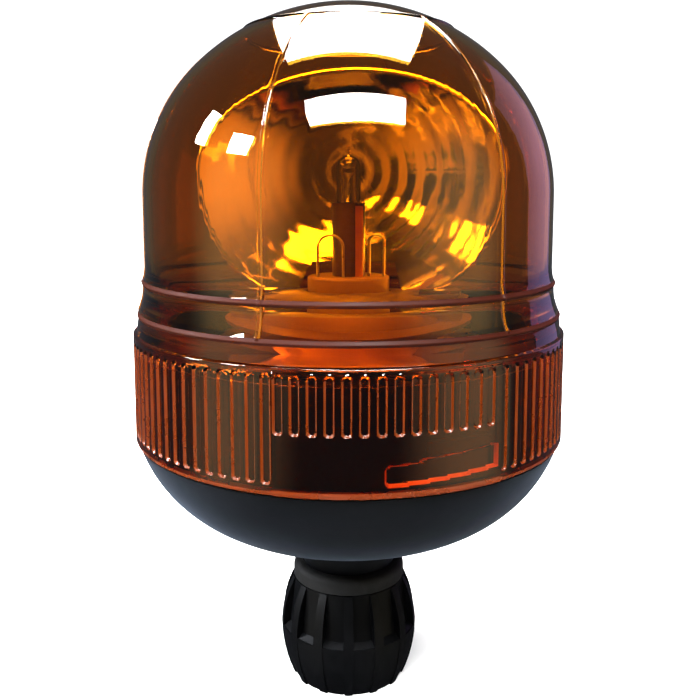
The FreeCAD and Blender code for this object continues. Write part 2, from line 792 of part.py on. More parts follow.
def lamp_post():
    groove_foot = bush_top + GAP
    groove = d.post_rad - d.snap_groove
    turned("lamp_post", [
        (d.post_bore_rad, plate_top - d.post_shank), (d.post_shank_rad, plate_top - d.post_shank),
        (d.post_shank_rad, plate_top), (d.post_flange_rad, plate_top), (d.post_flange_rad, post_flange_top),
        (d.post_rad, post_flange_top), (d.post_rad, groove_foot), (groove, groove_foot),
        (groove, groove_foot + d.snap_thick), (d.post_rad, groove_foot + d.snap_thick),
        (d.post_rad, d.post_top), (d.post_bore_rad, d.post_top),
    ])
    turned("rotor_clip", rectangle(groove + RUN, groove + d.snap_reach, groove_foot + RUN,
                                   groove_foot + d.snap_thick - RUN), 360 - d.snap_mouth)
    tube("thrust_washer", d.post_rad + FIT, d.post_flange_rad, post_flange_top,
         post_flange_top + d.washer_thick)
    hexagon("post_nut", d.post_nut_wide, d.post_shank_rad + RUN, d.chassis_foot - d.post_nut, d.post_nut)


def hexagon(label, across, bore, foot, tall):
    body = new_body(label)
    apex = across / math.sqrt(3)
    corners = []
    for index in range(6):
        angle = math.radians(60 * index)
        corners.append((apex * math.cos(angle), apex * math.sin(angle)))
    pad_feature(body, "Pad", foot, tall, outlines=[corners], circles=[(0, 0, bore)])
    return node(body, label)


# ---------------------------------------------------------------------------------------------- gears

def tooth_outline(teeth, module, turn):
    """A closed face of a gear: each flank is one arc through three points of its involute."""
    pressure = math.radians(d.pressure_angle.value)
    pitch = teeth * module / 2
    base = pitch * math.cos(pressure)
    tip = pitch + d.tooth_addendum.value * module
    root = pitch - d.tooth_dedendum.value * module
    start = max(base, root)
    at_pitch = math.pi / (2 * teeth) - d.backlash.value / (2 * pitch)

    def half_angle(radius):
        roll = math.acos(min(base / radius, 1.0))
        involute = math.tan(roll) - roll
        return at_pitch + math.tan(pressure) - pressure - involute

    def spot(radius, angle):
        return Vector(radius * math.cos(angle), radius * math.sin(angle), 0)

    edges = []
    pitch_angle = 2 * math.pi / teeth
    middle = (start + tip) / 2
    for index in range(teeth):
        line = math.radians(turn) + index * pitch_angle
        sides = []
        for sign in (-1, 1):
            sides.append([spot(r, line + sign * half_angle(r)) for r in (start, middle, tip)])
        rise, fall = sides
        low = spot(root, line - half_angle(start))
        low_end = spot(root, line + half_angle(start))
        if start > root:
            edges.append(Part.makeLine(low, rise[0]))
        edges.append(Part.Arc(rise[0], rise[1], rise[2]).toShape())
        edges.append(Part.Arc(rise[2], spot(tip, line), fall[2]).toShape())
        edges.append(Part.Arc(fall[2], fall[1], fall[0]).toShape())
        if start > root:
            edges.append(Part.makeLine(fall[0], low_end))
        onward = line + pitch_angle
        valley = spot(root, line + pitch_angle / 2)
        edges.append(Part.Arc(low_end, valley, spot(root, onward - half_angle(start))).toShape())
    return Part.Face(Part.Wire(edges))


def gear_blank(teeth, module, turn, foot, tall):
    face = tooth_outline(int(teeth.value), module.value, turn)
    face.translate(Vector(0, 0, foot.value))
    return face.extrude(Vector(0, 0, tall.value))


def bored(shape, radius):
    box = shape.BoundBox
    foot = Vector(0, 0, box.ZMin - box.ZLength / 2)
    hole = Part.makeCylinder(as_size(radius).value, 2 * box.ZLength, foot)
    return shape.cut(hole)


def gears():
    rotor = gear_blank(d.rotor_teeth, d.slow_module, 0, d.rotor_gear_foot, d.rotor_gear_tall)
    shaped("rotor_gear", bored(rotor, d.hub_rad + RUN))
    wheel_foot = plate_top + d.idler_flange + GAP
    pinion_foot = wheel_foot + d.idler_wheel_tall
    half_gap = 180 / d.idler_pinion_teeth.value
    wheel = gear_blank(d.idler_wheel_teeth, d.fast_module, 0, wheel_foot, d.idler_wheel_tall)
    pinion = gear_blank(d.idler_pinion_teeth, d.slow_module, -90 + half_gap, pinion_foot,
                        d.idler_pinion_tall)
    idler = bored(wheel.fuse(pinion).removeSplitter(), d.idler_pin_rad + RUN)
    shaped("idler_gear", idler, Placement(Vector(0, idler_out.value, 0), Rotation()))
    half_gap = 180 / d.motor_teeth.value
    motor = gear_blank(d.motor_teeth, d.fast_module, 180 + half_gap, wheel_foot, d.idler_wheel_tall)
    shaped("motor_pinion", bored(motor, d.motor_shaft_rad),
           Placement(Vector(motor_along.value, idler_out.value, 0), Rotation()))


def idler_pin():
    idler_top = plate_top + d.idler_flange + GAP + d.idler_wheel_tall + d.idler_pinion_tall
    groove = d.idler_pin_rad - d.snap_groove
    groove_foot = idler_top + GAP
    pin = turned("idler_pin", [
        (0, d.chassis_foot), (d.idler_pin_rad, d.chassis_foot), (d.idler_pin_rad, plate_top),
        (d.idler_pin_rad + d.idler_flange_out, plate_top),
        (d.idler_pin_rad + d.idler_flange_out, plate_top + d.idler_flange),
        (d.idler_pin_rad, plate_top + d.idler_flange), (d.idler_pin_rad, groove_foot),
        (groove, groove_foot), (groove, groove_foot + d.snap_thick),
        (d.idler_pin_rad, groove_foot + d.snap_thick), (d.idler_pin_rad, groove_foot + 2 * d.snap_thick),
        (0, groove_foot + 2 * d.snap_thick),
    ])
    move_to(pin, 0, idler_out)
    clip = turned("idler_clip", rectangle(groove + RUN, groove + d.snap_reach, groove_foot + RUN,
                                          groove_foot + d.snap_thick - RUN), 360 - d.snap_mouth)
    move_to(clip, 0, idler_out)


# ---------------------------------------------------------------------------------------------- rotor

def turntable():
    body = new_body("turntable")
    gear_top = d.rotor_gear_foot + d.rotor_gear_tall
    bore = d.post_rad + RUN + d.bush_wall + RUN
    mouth = d.shroud_mouth_rad
    wall = d.shroud_wall
    rise = d.shroud_top - disc_top
    spread = d.shroud_rad - mouth - wall
    shroud_arc = (square(spread) + square(rise)) / (2 * rise)
    turn_feature(body, "Revolution", [
        (bore, d.hub_foot), (d.hub_rad, d.hub_foot), (d.hub_rad, gear_top), (d.hub_step_rad, gear_top),
        (d.hub_step_rad, d.disc_foot), (d.disc_rad, d.disc_foot), (d.disc_rad, disc_top),
        (d.shroud_rad, disc_top, shroud_arc), (mouth + wall, d.shroud_top), (mouth, d.shroud_top),
        (mouth, d.shroud_top - wall, -shroud_arc), (d.shroud_rad - 2 * wall, disc_top),
        (bore, disc_top),
    ])
    half = d.foot_wide / 2
    feet = [rectangle(d.foot_at * side - half, d.foot_at * side + half, -d.foot_deep, 0)
            for side in (-1, 1)]
    pad_feature(body, "Pad", disc_top, d.foot_tall, d.rotor_turn, outlines=feet)
    depth = d.small_screw_long - d.reflector_tab + GAP
    holes = [(d.tab_at * side, foot_line, d.small_screw_rad + RUN) for side in (-1, 1)]
    pad_feature(body, "Pocket", feet_top, depth, d.rotor_turn, circles=holes)
    return node(body, "turntable")


def rotor_bush():
    inner = d.post_rad + RUN
    tube("rotor_bush", inner, inner + d.bush_wall, bush_foot, bush_top)


PARABOLA_STEPS = 10


def paraboloid(wall_shift, reach):
    """One edge of the reflector's section, as a curve through points of the parabola."""
    focus = d.reflector_focus.value
    spots = []
    for index in range(PARABOLA_STEPS + 1):
        radius = reach * index / PARABOLA_STEPS
        spots.append(Vector(radius, focus - radius * radius / (4 * focus) + wall_shift, 0))
    curve = Part.BSplineCurve()
    curve.interpolate(spots)
    return curve.toShape(), spots[0], spots[-1]


def reflector():
    """A paraboloid shell about the lamp's filament, trimmed to its outline, with two screw tabs."""
    wall = d.reflector_wall.value
    radius = d.reflector_rad.value
    axis = d.reflector_axis.value
    reach = radius + d.reflector_spare.value
    front, front_mid, front_rim = paraboloid(0, reach)
    back, back_mid, back_rim = paraboloid(wall, reach)
    section = Part.Face(Part.Wire([
        front, Part.makeLine(front_rim, back_rim), back, Part.makeLine(back_mid, front_mid)]))
    shell = section.revolve(Vector(), Vector(0, 1, 0), 360)
    shell.translate(Vector(0, 0, axis))
    foot = tab_top.value
    drop = axis - foot
    half = math.sqrt(radius * radius - drop * drop)
    centre = Vector(0, -radius, axis)
    crown = Part.Ellipse(centre, radius, d.reflector_crown.value)
    upper = Part.ArcOfEllipse(crown, 0, math.pi).toShape()
    upper.rotate(centre, Vector(1, 0, 0), 90)
    right, left = Vector(radius, -radius, axis), Vector(-radius, -radius, axis)
    low_right, low_left = Vector(half, -radius, foot), Vector(-half, -radius, foot)
    slant = math.atan2(-drop, half) / 2
    mid_right = Vector(radius * math.cos(slant), -radius, axis + radius * math.sin(slant))
    mid_left = Vector(-mid_right.x, mid_right.y, mid_right.z)
    outline_wire = Part.Wire(Part.__sortEdges__([
        upper, Part.Arc(left, mid_left, low_left).toShape(), Part.makeLine(low_left, low_right),
        Part.Arc(low_right, mid_right, right).toShape()]))
    block = Part.Face(outline_wire).extrude(Vector(0, 2 * radius, 0))
    shell = shell.common(block)
    tab = d.reflector_tab.value
    tab_tall = tab + d.reflector_tab_lap.value
    for side in (-1, 1):
        corner = Vector(side * d.tab_at.value - d.tab_wide.value / 2, -d.foot_deep.value, foot - tab)
        shell = shell.fuse(Part.makeBox(d.tab_wide.value, d.foot_deep.value, tab_tall, corner))
    for side in (-1, 1):
        spot = Vector(side * d.tab_at.value, foot_line.value, foot - tab)
        shell = shell.cut(Part.makeCylinder(d.small_screw_rad.value + FIT.value, tab, spot))
        seat = Vector(spot.x, spot.y, foot)
        head_room = Part.makeCylinder(
            d.small_head_rad.value + GAP.value, d.reflector_head_room.value, seat)
        shell = shell.cut(head_room)
    top, low = d.notch_top.value, foot - 2 * tab
    wide, narrow = d.notch_foot_wide.value, d.notch_top_wide.value
    notch = Part.makePolygon([
        Vector(-wide, -radius, low), Vector(wide, -radius, low), Vector(narrow, -radius, top),
        Vector(-narrow, -radius, top), Vector(-wide, -radius, low)])
    shell = shell.cut(Part.Face(notch).extrude(Vector(0, 2 * radius, 0)))
    turn = Placement(Vector(), Rotation(Vector(0, 0, 1), d.rotor_turn.value))
    shaped("reflector", shell.removeSplitter(), turn)


# ----------------------------------------------------------------------------------------------- lamp

def lamp():
    bore = d.post_rad + RUN
    turned("lamp_holder", [
        (bore, d.holder_foot), (d.holder_rad, d.holder_foot),
        (d.holder_rad, d.holder_top - d.holder_round, d.holder_round),
        (d.holder_rad - d.holder_round, d.holder_top), (d.post_bore_rad, d.holder_top),
        (d.post_bore_rad, d.post_top + FIT),
        (bore, d.post_top + FIT),
    ])
    cup = d.stem_rad - d.stem_wall
    cup_foot = d.stem_top - d.stem_socket
    stem = new_body("lamp_stem")
    turn_feature(stem, "Revolution", [
        (d.post_bore_rad, d.holder_top), (d.stem_rad, d.holder_top), (d.stem_rad, d.stem_top),
        (cup, d.stem_top), (cup, cup_foot), (d.post_bore_rad, cup_foot),
    ])
    strip_back = -d.stem_rad + d.strip_thick
    half = d.strip_wide / 2
    keyway = rectangle(d.strip_at - half - RUN, d.strip_at + half + RUN, -2 * d.stem_rad, strip_back + RUN)
    pad_feature(stem, "Pocket", d.stem_top, d.stem_top - d.holder_top, outlines=[keyway])
    node(stem, "lamp_stem")
    strip = new_body("live_strip")
    pad_feature(strip, "Pad", d.holder_top, d.stem_top - d.holder_top - d.strip_short, outlines=[
        rectangle(d.strip_at - half, d.strip_at + half, strip_back - d.strip_thick, strip_back)])
    node(strip, "live_strip")
    cap_inner = d.capsule_rad + RUN
    cap_top = d.stem_top - d.cap_sunk
    turned("bulb_cap", [
        (0, cup_foot), (cup - RUN, cup_foot), (cup - RUN, cap_top), (cap_inner, cap_top),
        (cap_inner, d.capsule_foot), (0, d.capsule_foot),
    ])


def bulb_glass():
    rad = d.capsule_rad
    inner = rad - d.capsule_wall
    shoulder = d.capsule_top - rad
    tip_from = shoulder + root_of(square(rad) - square(d.capsule_neck))
    foot = d.capsule_foot + 2 * d.capsule_wall
    turned("bulb_glass", [
        (0, d.capsule_foot), (rad, d.capsule_foot), (rad, shoulder, rad), (d.capsule_neck, tip_from),
        (d.capsule_tip_rad, d.capsule_top + d.capsule_tip), (0, d.capsule_top + d.capsule_tip),
        (0, shoulder + inner, -inner), (inner, shoulder), (inner, foot), (0, foot),
    ])


def round_wire(spots, radius):
    """A wire along straight runs that are joined by tangent arcs, as large as the runs allow."""
    spots = [Vector(*[as_size(value).value for value in spot]) for spot in spots]
    edges = []
    start = spots[0]
    for before, corner, after in zip(spots, spots[1:], spots[2:]):
        back, onward = before - corner, after - corner
        cut = 0.45 * min(back.Length, onward.Length)
        first = corner + back.normalize() * cut
        last = corner + onward.normalize() * cut
        half_turn = (math.pi - back.getAngle(onward)) / 2
        bend = cut / math.tan(half_turn)
        inward = (back + onward).normalize()
        centre = corner + inward * math.hypot(cut, bend)
        edges.append(Part.makeLine(start, first))
        edges.append(Part.Arc(first, centre - inward * bend, last).toShape())
        start = last
    edges.append(Part.makeLine(start, spots[-1]))
    path = Part.Wire(edges)
    heading = spots[1] - spots[0]
    circle = Part.makeCircle(radius, spots[0], heading)
    return path.makePipeShell([Part.Wire([circle])], True, True)


def coil(radius, wire, low, high, turns):
    """A helical spring between two heights, measured over its wire."""
    rise = high - low - 2 * wire
    helix = Part.makeHelix(rise / turns, rise, radius)
    circle = Part.makeCircle(wire, Vector(radius, 0, 0), Vector(0, 1, rise / turns / (2 * math.pi * radius)))
    spring = Part.Wire(helix.Edges).makePipeShell([Part.Wire([circle])], True, True)
    spring.translate(Vector(0, 0, low + wire))
    return spring


def filament():
    wire = d.filament_wire_rad.value
    radius = d.filament_coil_rad.value
    wide = d.filament_wide.value
    height = d.filament_at.value
    foot = d.capsule_foot.value + 2 * d.capsule_wall.value
    winding = coil(radius, wire, 0, wide, d.filament_turns.value)
    winding.rotate(Vector(), Vector(0, 1, 0), 90)
    winding.translate(Vector(-wide / 2, 0, height))
    ends = [winding]
    for side in (-1, 1):
        post = Vector(side * (wide / 2 - wire), 0, foot)
        ends.append(Part.makeCylinder(2 * wire, height - radius - foot, post))
    lead = ends[0].fuse(ends[1:])
    shaped("filament", lead)


def lamp_clips():
    """Two bent wires that stand in the holder and hold the stem's foot."""
    wire = d.clip_wire_rad.value
    foot = d.holder_top.value
    top = d.clip_top.value - wire
    loops = []
    for at, wide, forward in ((d.left_clip_at, d.left_clip_wide, -d.clip_forward),
                              (d.right_clip_at, d.right_clip_wide, -d.clip_forward / 2)):
        rad = wide.value / 2 - wire
        left, right = at.value - rad, at.value + rad
        y = forward.value
        bend = top - rad
        path = Part.Wire([
            Part.makeLine(Vector(left, y, foot), Vector(left, y, bend)),
            Part.Arc(Vector(left, y, bend), Vector(at.value, y, top), Vector(right, y, bend)).toShape(),
            Part.makeLine(Vector(right, y, bend), Vector(right, y, foot))])
        circle = Part.makeCircle(wire, Vector(left, y, foot), Vector(0, 0, 1))
        loops.append(path.makePipeShell([Part.Wire([circle])], True, True))
    shaped("lamp_clips", Part.makeCompound(loops))


# -------------------------------------------------------------------------------------------- contacts

def contacts():
    carrier_top = carrier_foot + d.carrier_tall
    outer = d.earth_ring_rad - d.earth_groove - RUN
    cavity = carrier_foot + d.carrier_floor
    carrier = new_body("contact_carrier")
    turn_feature(carrier, "Revolution", [
        (d.contact_rad + RUN, carrier_foot), (outer, carrier_foot), (outer, carrier_top),
        (d.carrier_bore_rad, carrier_top), (d.carrier_bore_rad, cavity), (d.contact_rad + RUN, cavity),
    ])
    half = d.earth_strip_wide / 2 + FIT
    notch = rectangle(d.earth_strip_at - FIT, 2 * outer, -half, half)
    pad_feature(carrier, "Pocket", carrier_top, d.carrier_tall, outlines=[notch])
    node(carrier, "contact_carrier")

    tip = pole_stop + d.contact_tip_back
    flange = cavity + RUN
    flange_end = flange + d.contact_flange
    turned("centre_contact", [
        (0, tip), (d.contact_rad - d.contact_bevel, tip), (d.contact_rad, tip + d.contact_bevel),
        (d.contact_rad, flange),
        (d.contact_flange_rad, flange), (d.contact_flange_rad, flange_end),
        (d.contact_stem_rad, flange_end), (d.contact_stem_rad, flange_end + d.contact_stem),
        (0, flange_end + d.contact_stem),
    ])
    spring = coil(d.spring_rad.value, d.spring_wire_rad.value, (flange_end + RUN).value,
                  (carrier_top - RUN).value, d.spring_turns.value)
    shaped("contact_spring", spring)

    terminal = new_body("live_terminal")
    pad_feature(terminal, "Pad", carrier_top, d.terminal_thick, circles=[(0, 0, d.terminal_rad)])
    half_tab = d.terminal_tab_wide / 2
    tab = rectangle(-half_tab, half_tab, -d.terminal_rad / 2 - d.terminal_thick, -d.terminal_rad / 2)
    pad_feature(terminal, "Pad", carrier_top, d.terminal_tab, outlines=[tab])
    node(terminal, "live_terminal")

    earth = new_body("earth_contact")
    low = pole_stop + RUN
    pad_feature(earth, "Pad", low, d.earth_ring, circles=[
        (0, 0, d.earth_ring_rad), (0, 0, d.stop_bore_rad + GAP)])
    reach = d.earth_strip_wide / 2
    strip = rectangle(d.earth_strip_at, d.earth_strip_at + d.earth_strip_thick, -reach, reach)
    pad_feature(earth, "Pad", low, d.earth_strip_top - low, outlines=[strip])
    node(earth, "earth_contact")


# ----------------------------------------------------------------------------------------------- motor

def motor():
    top = d.chassis_foot
    foot = top - d.motor_long
    inner = d.motor_rad - d.motor_wall
    shaft = d.motor_shaft_rad + RUN
    pieces = []
    pieces.append(turned("motor_can", [
        (inner, foot), (d.motor_rad, foot), (d.motor_rad, top), (d.motor_nose_rad, top),
        (d.motor_nose_rad, top + d.motor_nose), (shaft, top + d.motor_nose), (shaft, top - 2 * d.motor_wall),
        (inner, top - 2 * d.motor_wall),
    ]))
    can_holes = pieces[0]
    pad_feature(can_holes, "Pocket", top, 2 * d.motor_wall, circles=[
        (0, d.motor_screw_ring, d.small_screw_rad + RUN), (0, -d.motor_screw_ring, d.small_screw_rad + RUN)])
    pieces.append(turned("motor_end_cap", [
        (0, foot - d.motor_cap), (d.motor_rad, foot - d.motor_cap), (d.motor_rad, foot),
        (inner - RUN, foot), (inner - RUN, foot + d.motor_cap), (shaft, foot + d.motor_cap),
        (shaft, foot), (0, foot),
    ]))
    magnet_foot = foot + 2 * d.motor_cap
    magnets = new_body("motor_magnets")
    magnets.AllowCompound = True
    arc = turn_feature(magnets, "Revolution", rectangle(
        inner - RUN - d.magnet_thick, inner - RUN, magnet_foot, magnet_foot + d.magnet_tall),
        d.magnet_angle)
    round_pattern(magnets, [arc], d.magnet_count)
    pieces.append(node(magnets, "motor_magnets"))
    armature = new_body("motor_armature")
    armature_foot = magnet_foot + d.armature_inset
    armature_top = armature_foot + d.armature_tall
    turn_feature(armature, "Revolution", rectangle(
        d.motor_shaft_rad, d.armature_rad, armature_foot, armature_top))
    slot = rectangle(d.armature_rad / 2, 2 * d.armature_rad, -d.armature_slot / 2, d.armature_slot / 2)
    cut = pad_feature(armature, "Pocket", armature_top, d.armature_tall, outlines=[slot])
    round_pattern(armature, [cut], d.armature_poles)
    pieces.append(node(armature, "motor_armature"))
    pieces.append(turned("motor_shaft", rectangle(
        0, d.motor_shaft_rad, foot + RUN, top + d.motor_shaft_up)))
    for piece in pieces:
        move_to(piece, motor_along, idler_out)


# -------------------------------------------------------------------------------------------- fasteners

def fasteners():
    large = (d.screw_rad, d.screw_head_rad, d.screw_head)
    small = (d.small_screw_rad, d.small_head_rad, d.small_head)
    socket_long = d.socket_flange + d.seal_thick + d.bowl_wall - d.socket_screw_short
    screw_ring("socket_screws", d.socket_screw_ring, d.socket_screw_count, d.socket_screw_turn,
               flange_top, socket_long, large)
    screw_ring("chassis_screws", boss_ring, d.boss_count, d.boss_turn, plate_top, d.chassis_screw_long,
               large)
    motor_long = d.chassis_thick + 2 * d.motor_wall - FIT
    motor_screws = screw_ring("motor_screws", d.motor_screw_ring, d.motor_screw_count, d.motor_screw_turn,
                              plate_top, motor_long, small)
    move_to(motor_screws, motor_along, idler_out)
    arm = root_of(square(d.tab_at) + square(foot_line))
    lean = math.degrees(math.atan2(foot_line.value, d.tab_at.value))
    screws = new_body("reflector_screws")
    screws.AllowCompound = True
    for side, turn in ((1, lean), (-1, 180 - lean)):
        profile = [
            (arm, tab_top - d.small_screw_long), (arm + d.small_screw_rad, tab_top - d.small_screw_long),
            (arm + d.small_screw_rad, tab_top), (arm + d.small_head_rad, tab_top),
            (arm + d.small_head_rad, tab_top + d.small_head / 2, d.small_head / 2),
            (arm + d.small_head_rad - d.small_head / 2, tab_top + d.small_head),
            (arm, tab_top + d.small_head),
        ]
        turn_feature(screws, "Revolution", profile, turn=d.rotor_turn + turn, shaft=arm)
    node(screws, "reflector_screws")


# ------------------------------------------------------------------------- wires, earth and suppressor

def wiring():
    wire = d.wire_rad.value
    terminal_top = carrier_foot + d.carrier_tall + d.terminal_thick
    shaped("live_wire", round_wire([
        (3.0, 0, terminal_top), (3.0, 0, terminal_top + 6), (0, 0, d.chassis_foot - 9),
        (0, 0, d.chassis_foot + 4), (0, 0.4, d.holder_top - 6), (0, 0, d.holder_top + 12)], wire))
    lead_foot = d.chassis_foot - d.motor_long + 1
    side = idler_out - d.motor_rad
    shaped("motor_live_lead", round_wire([
        (motor_along - 3, side - 0.7, lead_foot), (motor_along - 5, side - 4, lead_foot + 7),
        (6, 6, terminal_top + 8), (0, 4.5, terminal_top + 6), (0, 4.2, terminal_top + FIT)], wire))
    shaped("motor_earth_lead", round_wire([
        (motor_along + 3, side - 0.7, lead_foot), (motor_along + 6, side - 6, lead_foot + 8),
        (d.earth_screw_out + 1, 4, d.chassis_foot - 9),
        (d.earth_screw_out, earth_across + 6, d.chassis_foot - 2.5),
        (d.earth_screw_out, earth_across + 2.6, d.chassis_foot - 2.0)], wire))
    shaped("earth_wire", round_wire([
        (d.earth_strip_at + 0.4, 0, d.earth_strip_top), (d.earth_strip_at + 0.4, 0, d.earth_strip_top + 5),
        (15, earth_across + 4, d.chassis_foot - 5),
        (d.earth_screw_out - 6, earth_across, d.chassis_foot - 1.9),
        (d.earth_screw_out - 2.6, earth_across, d.chassis_foot - 1.9)], wire))
    tag_foot = d.chassis_foot - d.earth_tag_thick
    tag = tube("earth_tag", d.small_screw_rad + RUN, d.earth_tag_rad, tag_foot, d.chassis_foot)
    move_to(tag, d.earth_screw_out, earth_across)
    long = d.chassis_thick + d.earth_tag_thick + d.earth_screw_past
    top = plate_top + d.small_head
    screw = turned("earth_screw", [
        (0, top - d.small_head - long), (d.small_screw_rad, top - d.small_head - long),
        (d.small_screw_rad, plate_top), (d.small_head_rad, plate_top),
        (d.small_head_rad, top - d.small_head / 2, d.small_head / 2),
        (d.small_head_rad - d.small_head / 2, top), (0, top),
    ])
    move_to(screw, d.earth_screw_out, earth_across)
    case = new_body("suppressor")
    half_long, half_wide = d.suppressor_long / 2, d.suppressor_wide / 2
    foot = d.chassis_foot - d.suppressor_tall
    block = pad_feature(case, "Pad", foot, d.suppressor_tall, outlines=[
        rectangle(-half_long, half_long, -half_wide, half_wide)])
    doc.recompute()
    edges = [f"Edge{index}" for index, edge in enumerate(block.Shape.Edges, start=1)
             if abs(edge.tangentAt(edge.FirstParameter).z) > 0.9]
    rounded = case.newObject("PartDesign::Fillet", "suppressor_fillet")
    rounded.Base = (block, edges)
    bind(rounded, "Radius", d.suppressor_round)
    move_to(case, -d.suppressor_out, 0)
    node(case, "suppressor")


# --------------------------------------------------------------------------------------- build and write

def build():
    pole_socket()
    clamp_collar()
    collar_parts()
    neck_gland()
    base_bowl()
    seals()
    lens_dome()
    chassis_plate()
    lamp_post()
    gears()
    idler_pin()
    turntable()
    rotor_bush()
    reflector()
    lamp()
    bulb_glass()
    filament()
    lamp_clips()
    contacts()
    motor()
    fasteners()
    wiring()
    doc.recompute()


def check():
    """Stops before anything is written if a feature failed or a sub-part has no valid shape."""
    for thing in doc.Objects:
        if "Invalid" in thing.State or "Error" in thing.State:
            raise RuntimeError(f"{thing.Name} failed: {thing.State}")
    for thing in NODES:
        shape = thing.Shape
        if shape.isNull() or not shape.isValid() or not shape.Solids:
            raise RuntimeError(f"{thing.Label} has no valid solid")


def write():
    os.makedirs("parts", exist_ok=True)
    for thing in NODES:
        thing.Shape.exportStep(f"parts/{thing.Label}.step")
        box = thing.Shape.BoundBox
        print(f"{thing.Label}: {len(thing.Shape.Solids)} solids, {thing.Shape.Volume:.1f} mm3, "
              f"z {box.ZMin:.2f} to {box.ZMax:.2f}, x {box.XMin:.2f} to {box.XMax:.2f}")


build()
check()
write()
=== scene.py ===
"""Rotating warning beacon: an amber lens over a turning reflector, on a black base with a pole socket."""
import json
import math

import bpy
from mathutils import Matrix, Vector


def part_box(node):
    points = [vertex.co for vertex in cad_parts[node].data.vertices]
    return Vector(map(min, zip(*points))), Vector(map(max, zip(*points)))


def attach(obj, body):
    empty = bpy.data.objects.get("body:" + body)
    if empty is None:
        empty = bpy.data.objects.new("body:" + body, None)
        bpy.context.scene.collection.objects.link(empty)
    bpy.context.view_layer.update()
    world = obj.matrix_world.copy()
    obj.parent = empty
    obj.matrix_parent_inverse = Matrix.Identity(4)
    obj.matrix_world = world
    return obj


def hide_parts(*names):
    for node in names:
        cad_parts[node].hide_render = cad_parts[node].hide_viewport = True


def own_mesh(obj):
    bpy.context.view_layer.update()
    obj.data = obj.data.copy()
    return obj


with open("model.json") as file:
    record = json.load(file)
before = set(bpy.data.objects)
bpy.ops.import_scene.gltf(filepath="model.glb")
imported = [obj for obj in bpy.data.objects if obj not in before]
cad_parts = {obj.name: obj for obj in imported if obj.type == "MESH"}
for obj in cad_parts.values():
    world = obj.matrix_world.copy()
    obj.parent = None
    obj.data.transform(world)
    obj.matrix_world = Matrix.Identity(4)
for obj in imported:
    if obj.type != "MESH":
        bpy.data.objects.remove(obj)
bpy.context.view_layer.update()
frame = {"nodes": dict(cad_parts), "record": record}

MM = 0.001
ON_AXIS = 1e-6


def top_of(node):
    """The height of a node's top, in metres."""
    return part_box(node)[1].z


def foot_of(node):
    """The height of a node's foot, in metres."""
    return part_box(node)[0].z


# ------------------------------------------------------------------------------------ camera and studio

# The viewpoint's distance and height in millimetres, and how far it is tipped down in degrees.
VIEW_BACK = 280.5
VIEW_HIGH = 169
VIEW_TIP = 6.44

# The room, in metres: what the lights face, their colours, and a floor that lies just under the lamp.
DOME_MIDDLE = (0, 0, 0.18)
DAYLIGHT = (0.92, 0.95, 1.0)
VIOLET = (0.7, 0.46, 1.0)
FLOOR_REACH = 6
FLOOR_GAP = 0.0002


def make_camera():
    """A close viewpoint, a little above the lamp and tipped down, with the frame lowered by its shift."""
    data = bpy.data.cameras.new("camera")
    data.sensor_width = 36
    data.lens = 43.24
    data.shift_x = 0.002
    data.shift_y = -0.104
    data.clip_start = 0.01
    camera = bpy.data.objects.new("camera", data)
    camera.location = (0, -VIEW_BACK * MM, VIEW_HIGH * MM)
    camera.rotation_euler = (math.radians(90 - VIEW_TIP), 0, 0)
    bpy.context.collection.objects.link(camera)
    bpy.context.scene.camera = camera


def softbox(name, place, target, size, power, spread=180, colour=(1, 1, 1)):
    """A rectangular light at a place, turned to face a target."""
    light = bpy.data.lights.new(name, "AREA")
    light.shape = "RECTANGLE"
    light.size, light.size_y = size
    light.energy = power
    light.color = colour
    light.spread = math.radians(spread)
    thing = bpy.data.objects.new(name, light)
    thing.location = place
    thing.rotation_euler = (Vector(target) - Vector(place)).to_track_quat("-Z", "Y").to_euler()
    bpy.context.collection.objects.link(thing)


def dim_room():
    """The room round the lamp: dim, with paler walls to the left and right. The camera sees plain white."""
    world = bpy.data.worlds.new("room")
    world.use_nodes = True
    tree = world.node_tree
    place = add_node(tree, "ShaderNodeTexCoord")
    towards = add_node(tree, "ShaderNodeSeparateXYZ", links={"Vector": place.outputs["Generated"]})
    sideways = add_node(tree, "ShaderNodeMath", {"operation": "ABSOLUTE"}, {0: towards.outputs["X"]})
    height = add_node(tree, "ShaderNodeMath", {"operation": "ABSOLUTE"}, {0: towards.outputs["Z"]})
    walls = add_node(tree, "ShaderNodeMapRange", {"interpolation_type": "SMOOTHSTEP", "From Min": 0.35,
                                                  "From Max": 0.85}, {"Value": sideways.outputs["Value"]})
    level = add_node(tree, "ShaderNodeMapRange", {"interpolation_type": "SMOOTHSTEP", "From Min": 0.85,
                                                  "From Max": 0.2}, {"Value": height.outputs["Value"]})
    before = add_node(tree, "ShaderNodeMapRange", {"interpolation_type": "SMOOTHSTEP", "From Min": 0.1,
                                                   "From Max": -0.35}, {"Value": towards.outputs["Y"]})
    sides = add_node(tree, "ShaderNodeMath", {"operation": "MULTIPLY"},
                     {0: walls.outputs["Result"], 1: level.outputs["Result"]})
    glow = add_node(tree, "ShaderNodeMath", {"operation": "MULTIPLY"},
                    {0: sides.outputs["Value"], 1: before.outputs["Result"]})
    shade = add_node(tree, "ShaderNodeMix", {"data_type": "RGBA", 6: (0.10, 0.105, 0.12, 1),
                                             7: (1.1, 0.96, 0.62, 1)}, {0: glow.outputs["Value"]})
    room = add_node(tree, "ShaderNodeBackground", links={"Color": shade.outputs[2]})
    paper = add_node(tree, "ShaderNodeBackground", {"Color": (1, 1, 1, 1), "Strength": 1.1})
    seen = add_node(tree, "ShaderNodeLightPath")
    both = add_node(tree, "ShaderNodeMixShader", links={"Fac": seen.outputs["Is Camera Ray"],
                                                        1: room.outputs["Background"],
                                                        2: paper.outputs["Background"]})
    tree.links.new(both.outputs["Shader"], tree.nodes["World Output"].inputs["Surface"])
    return world


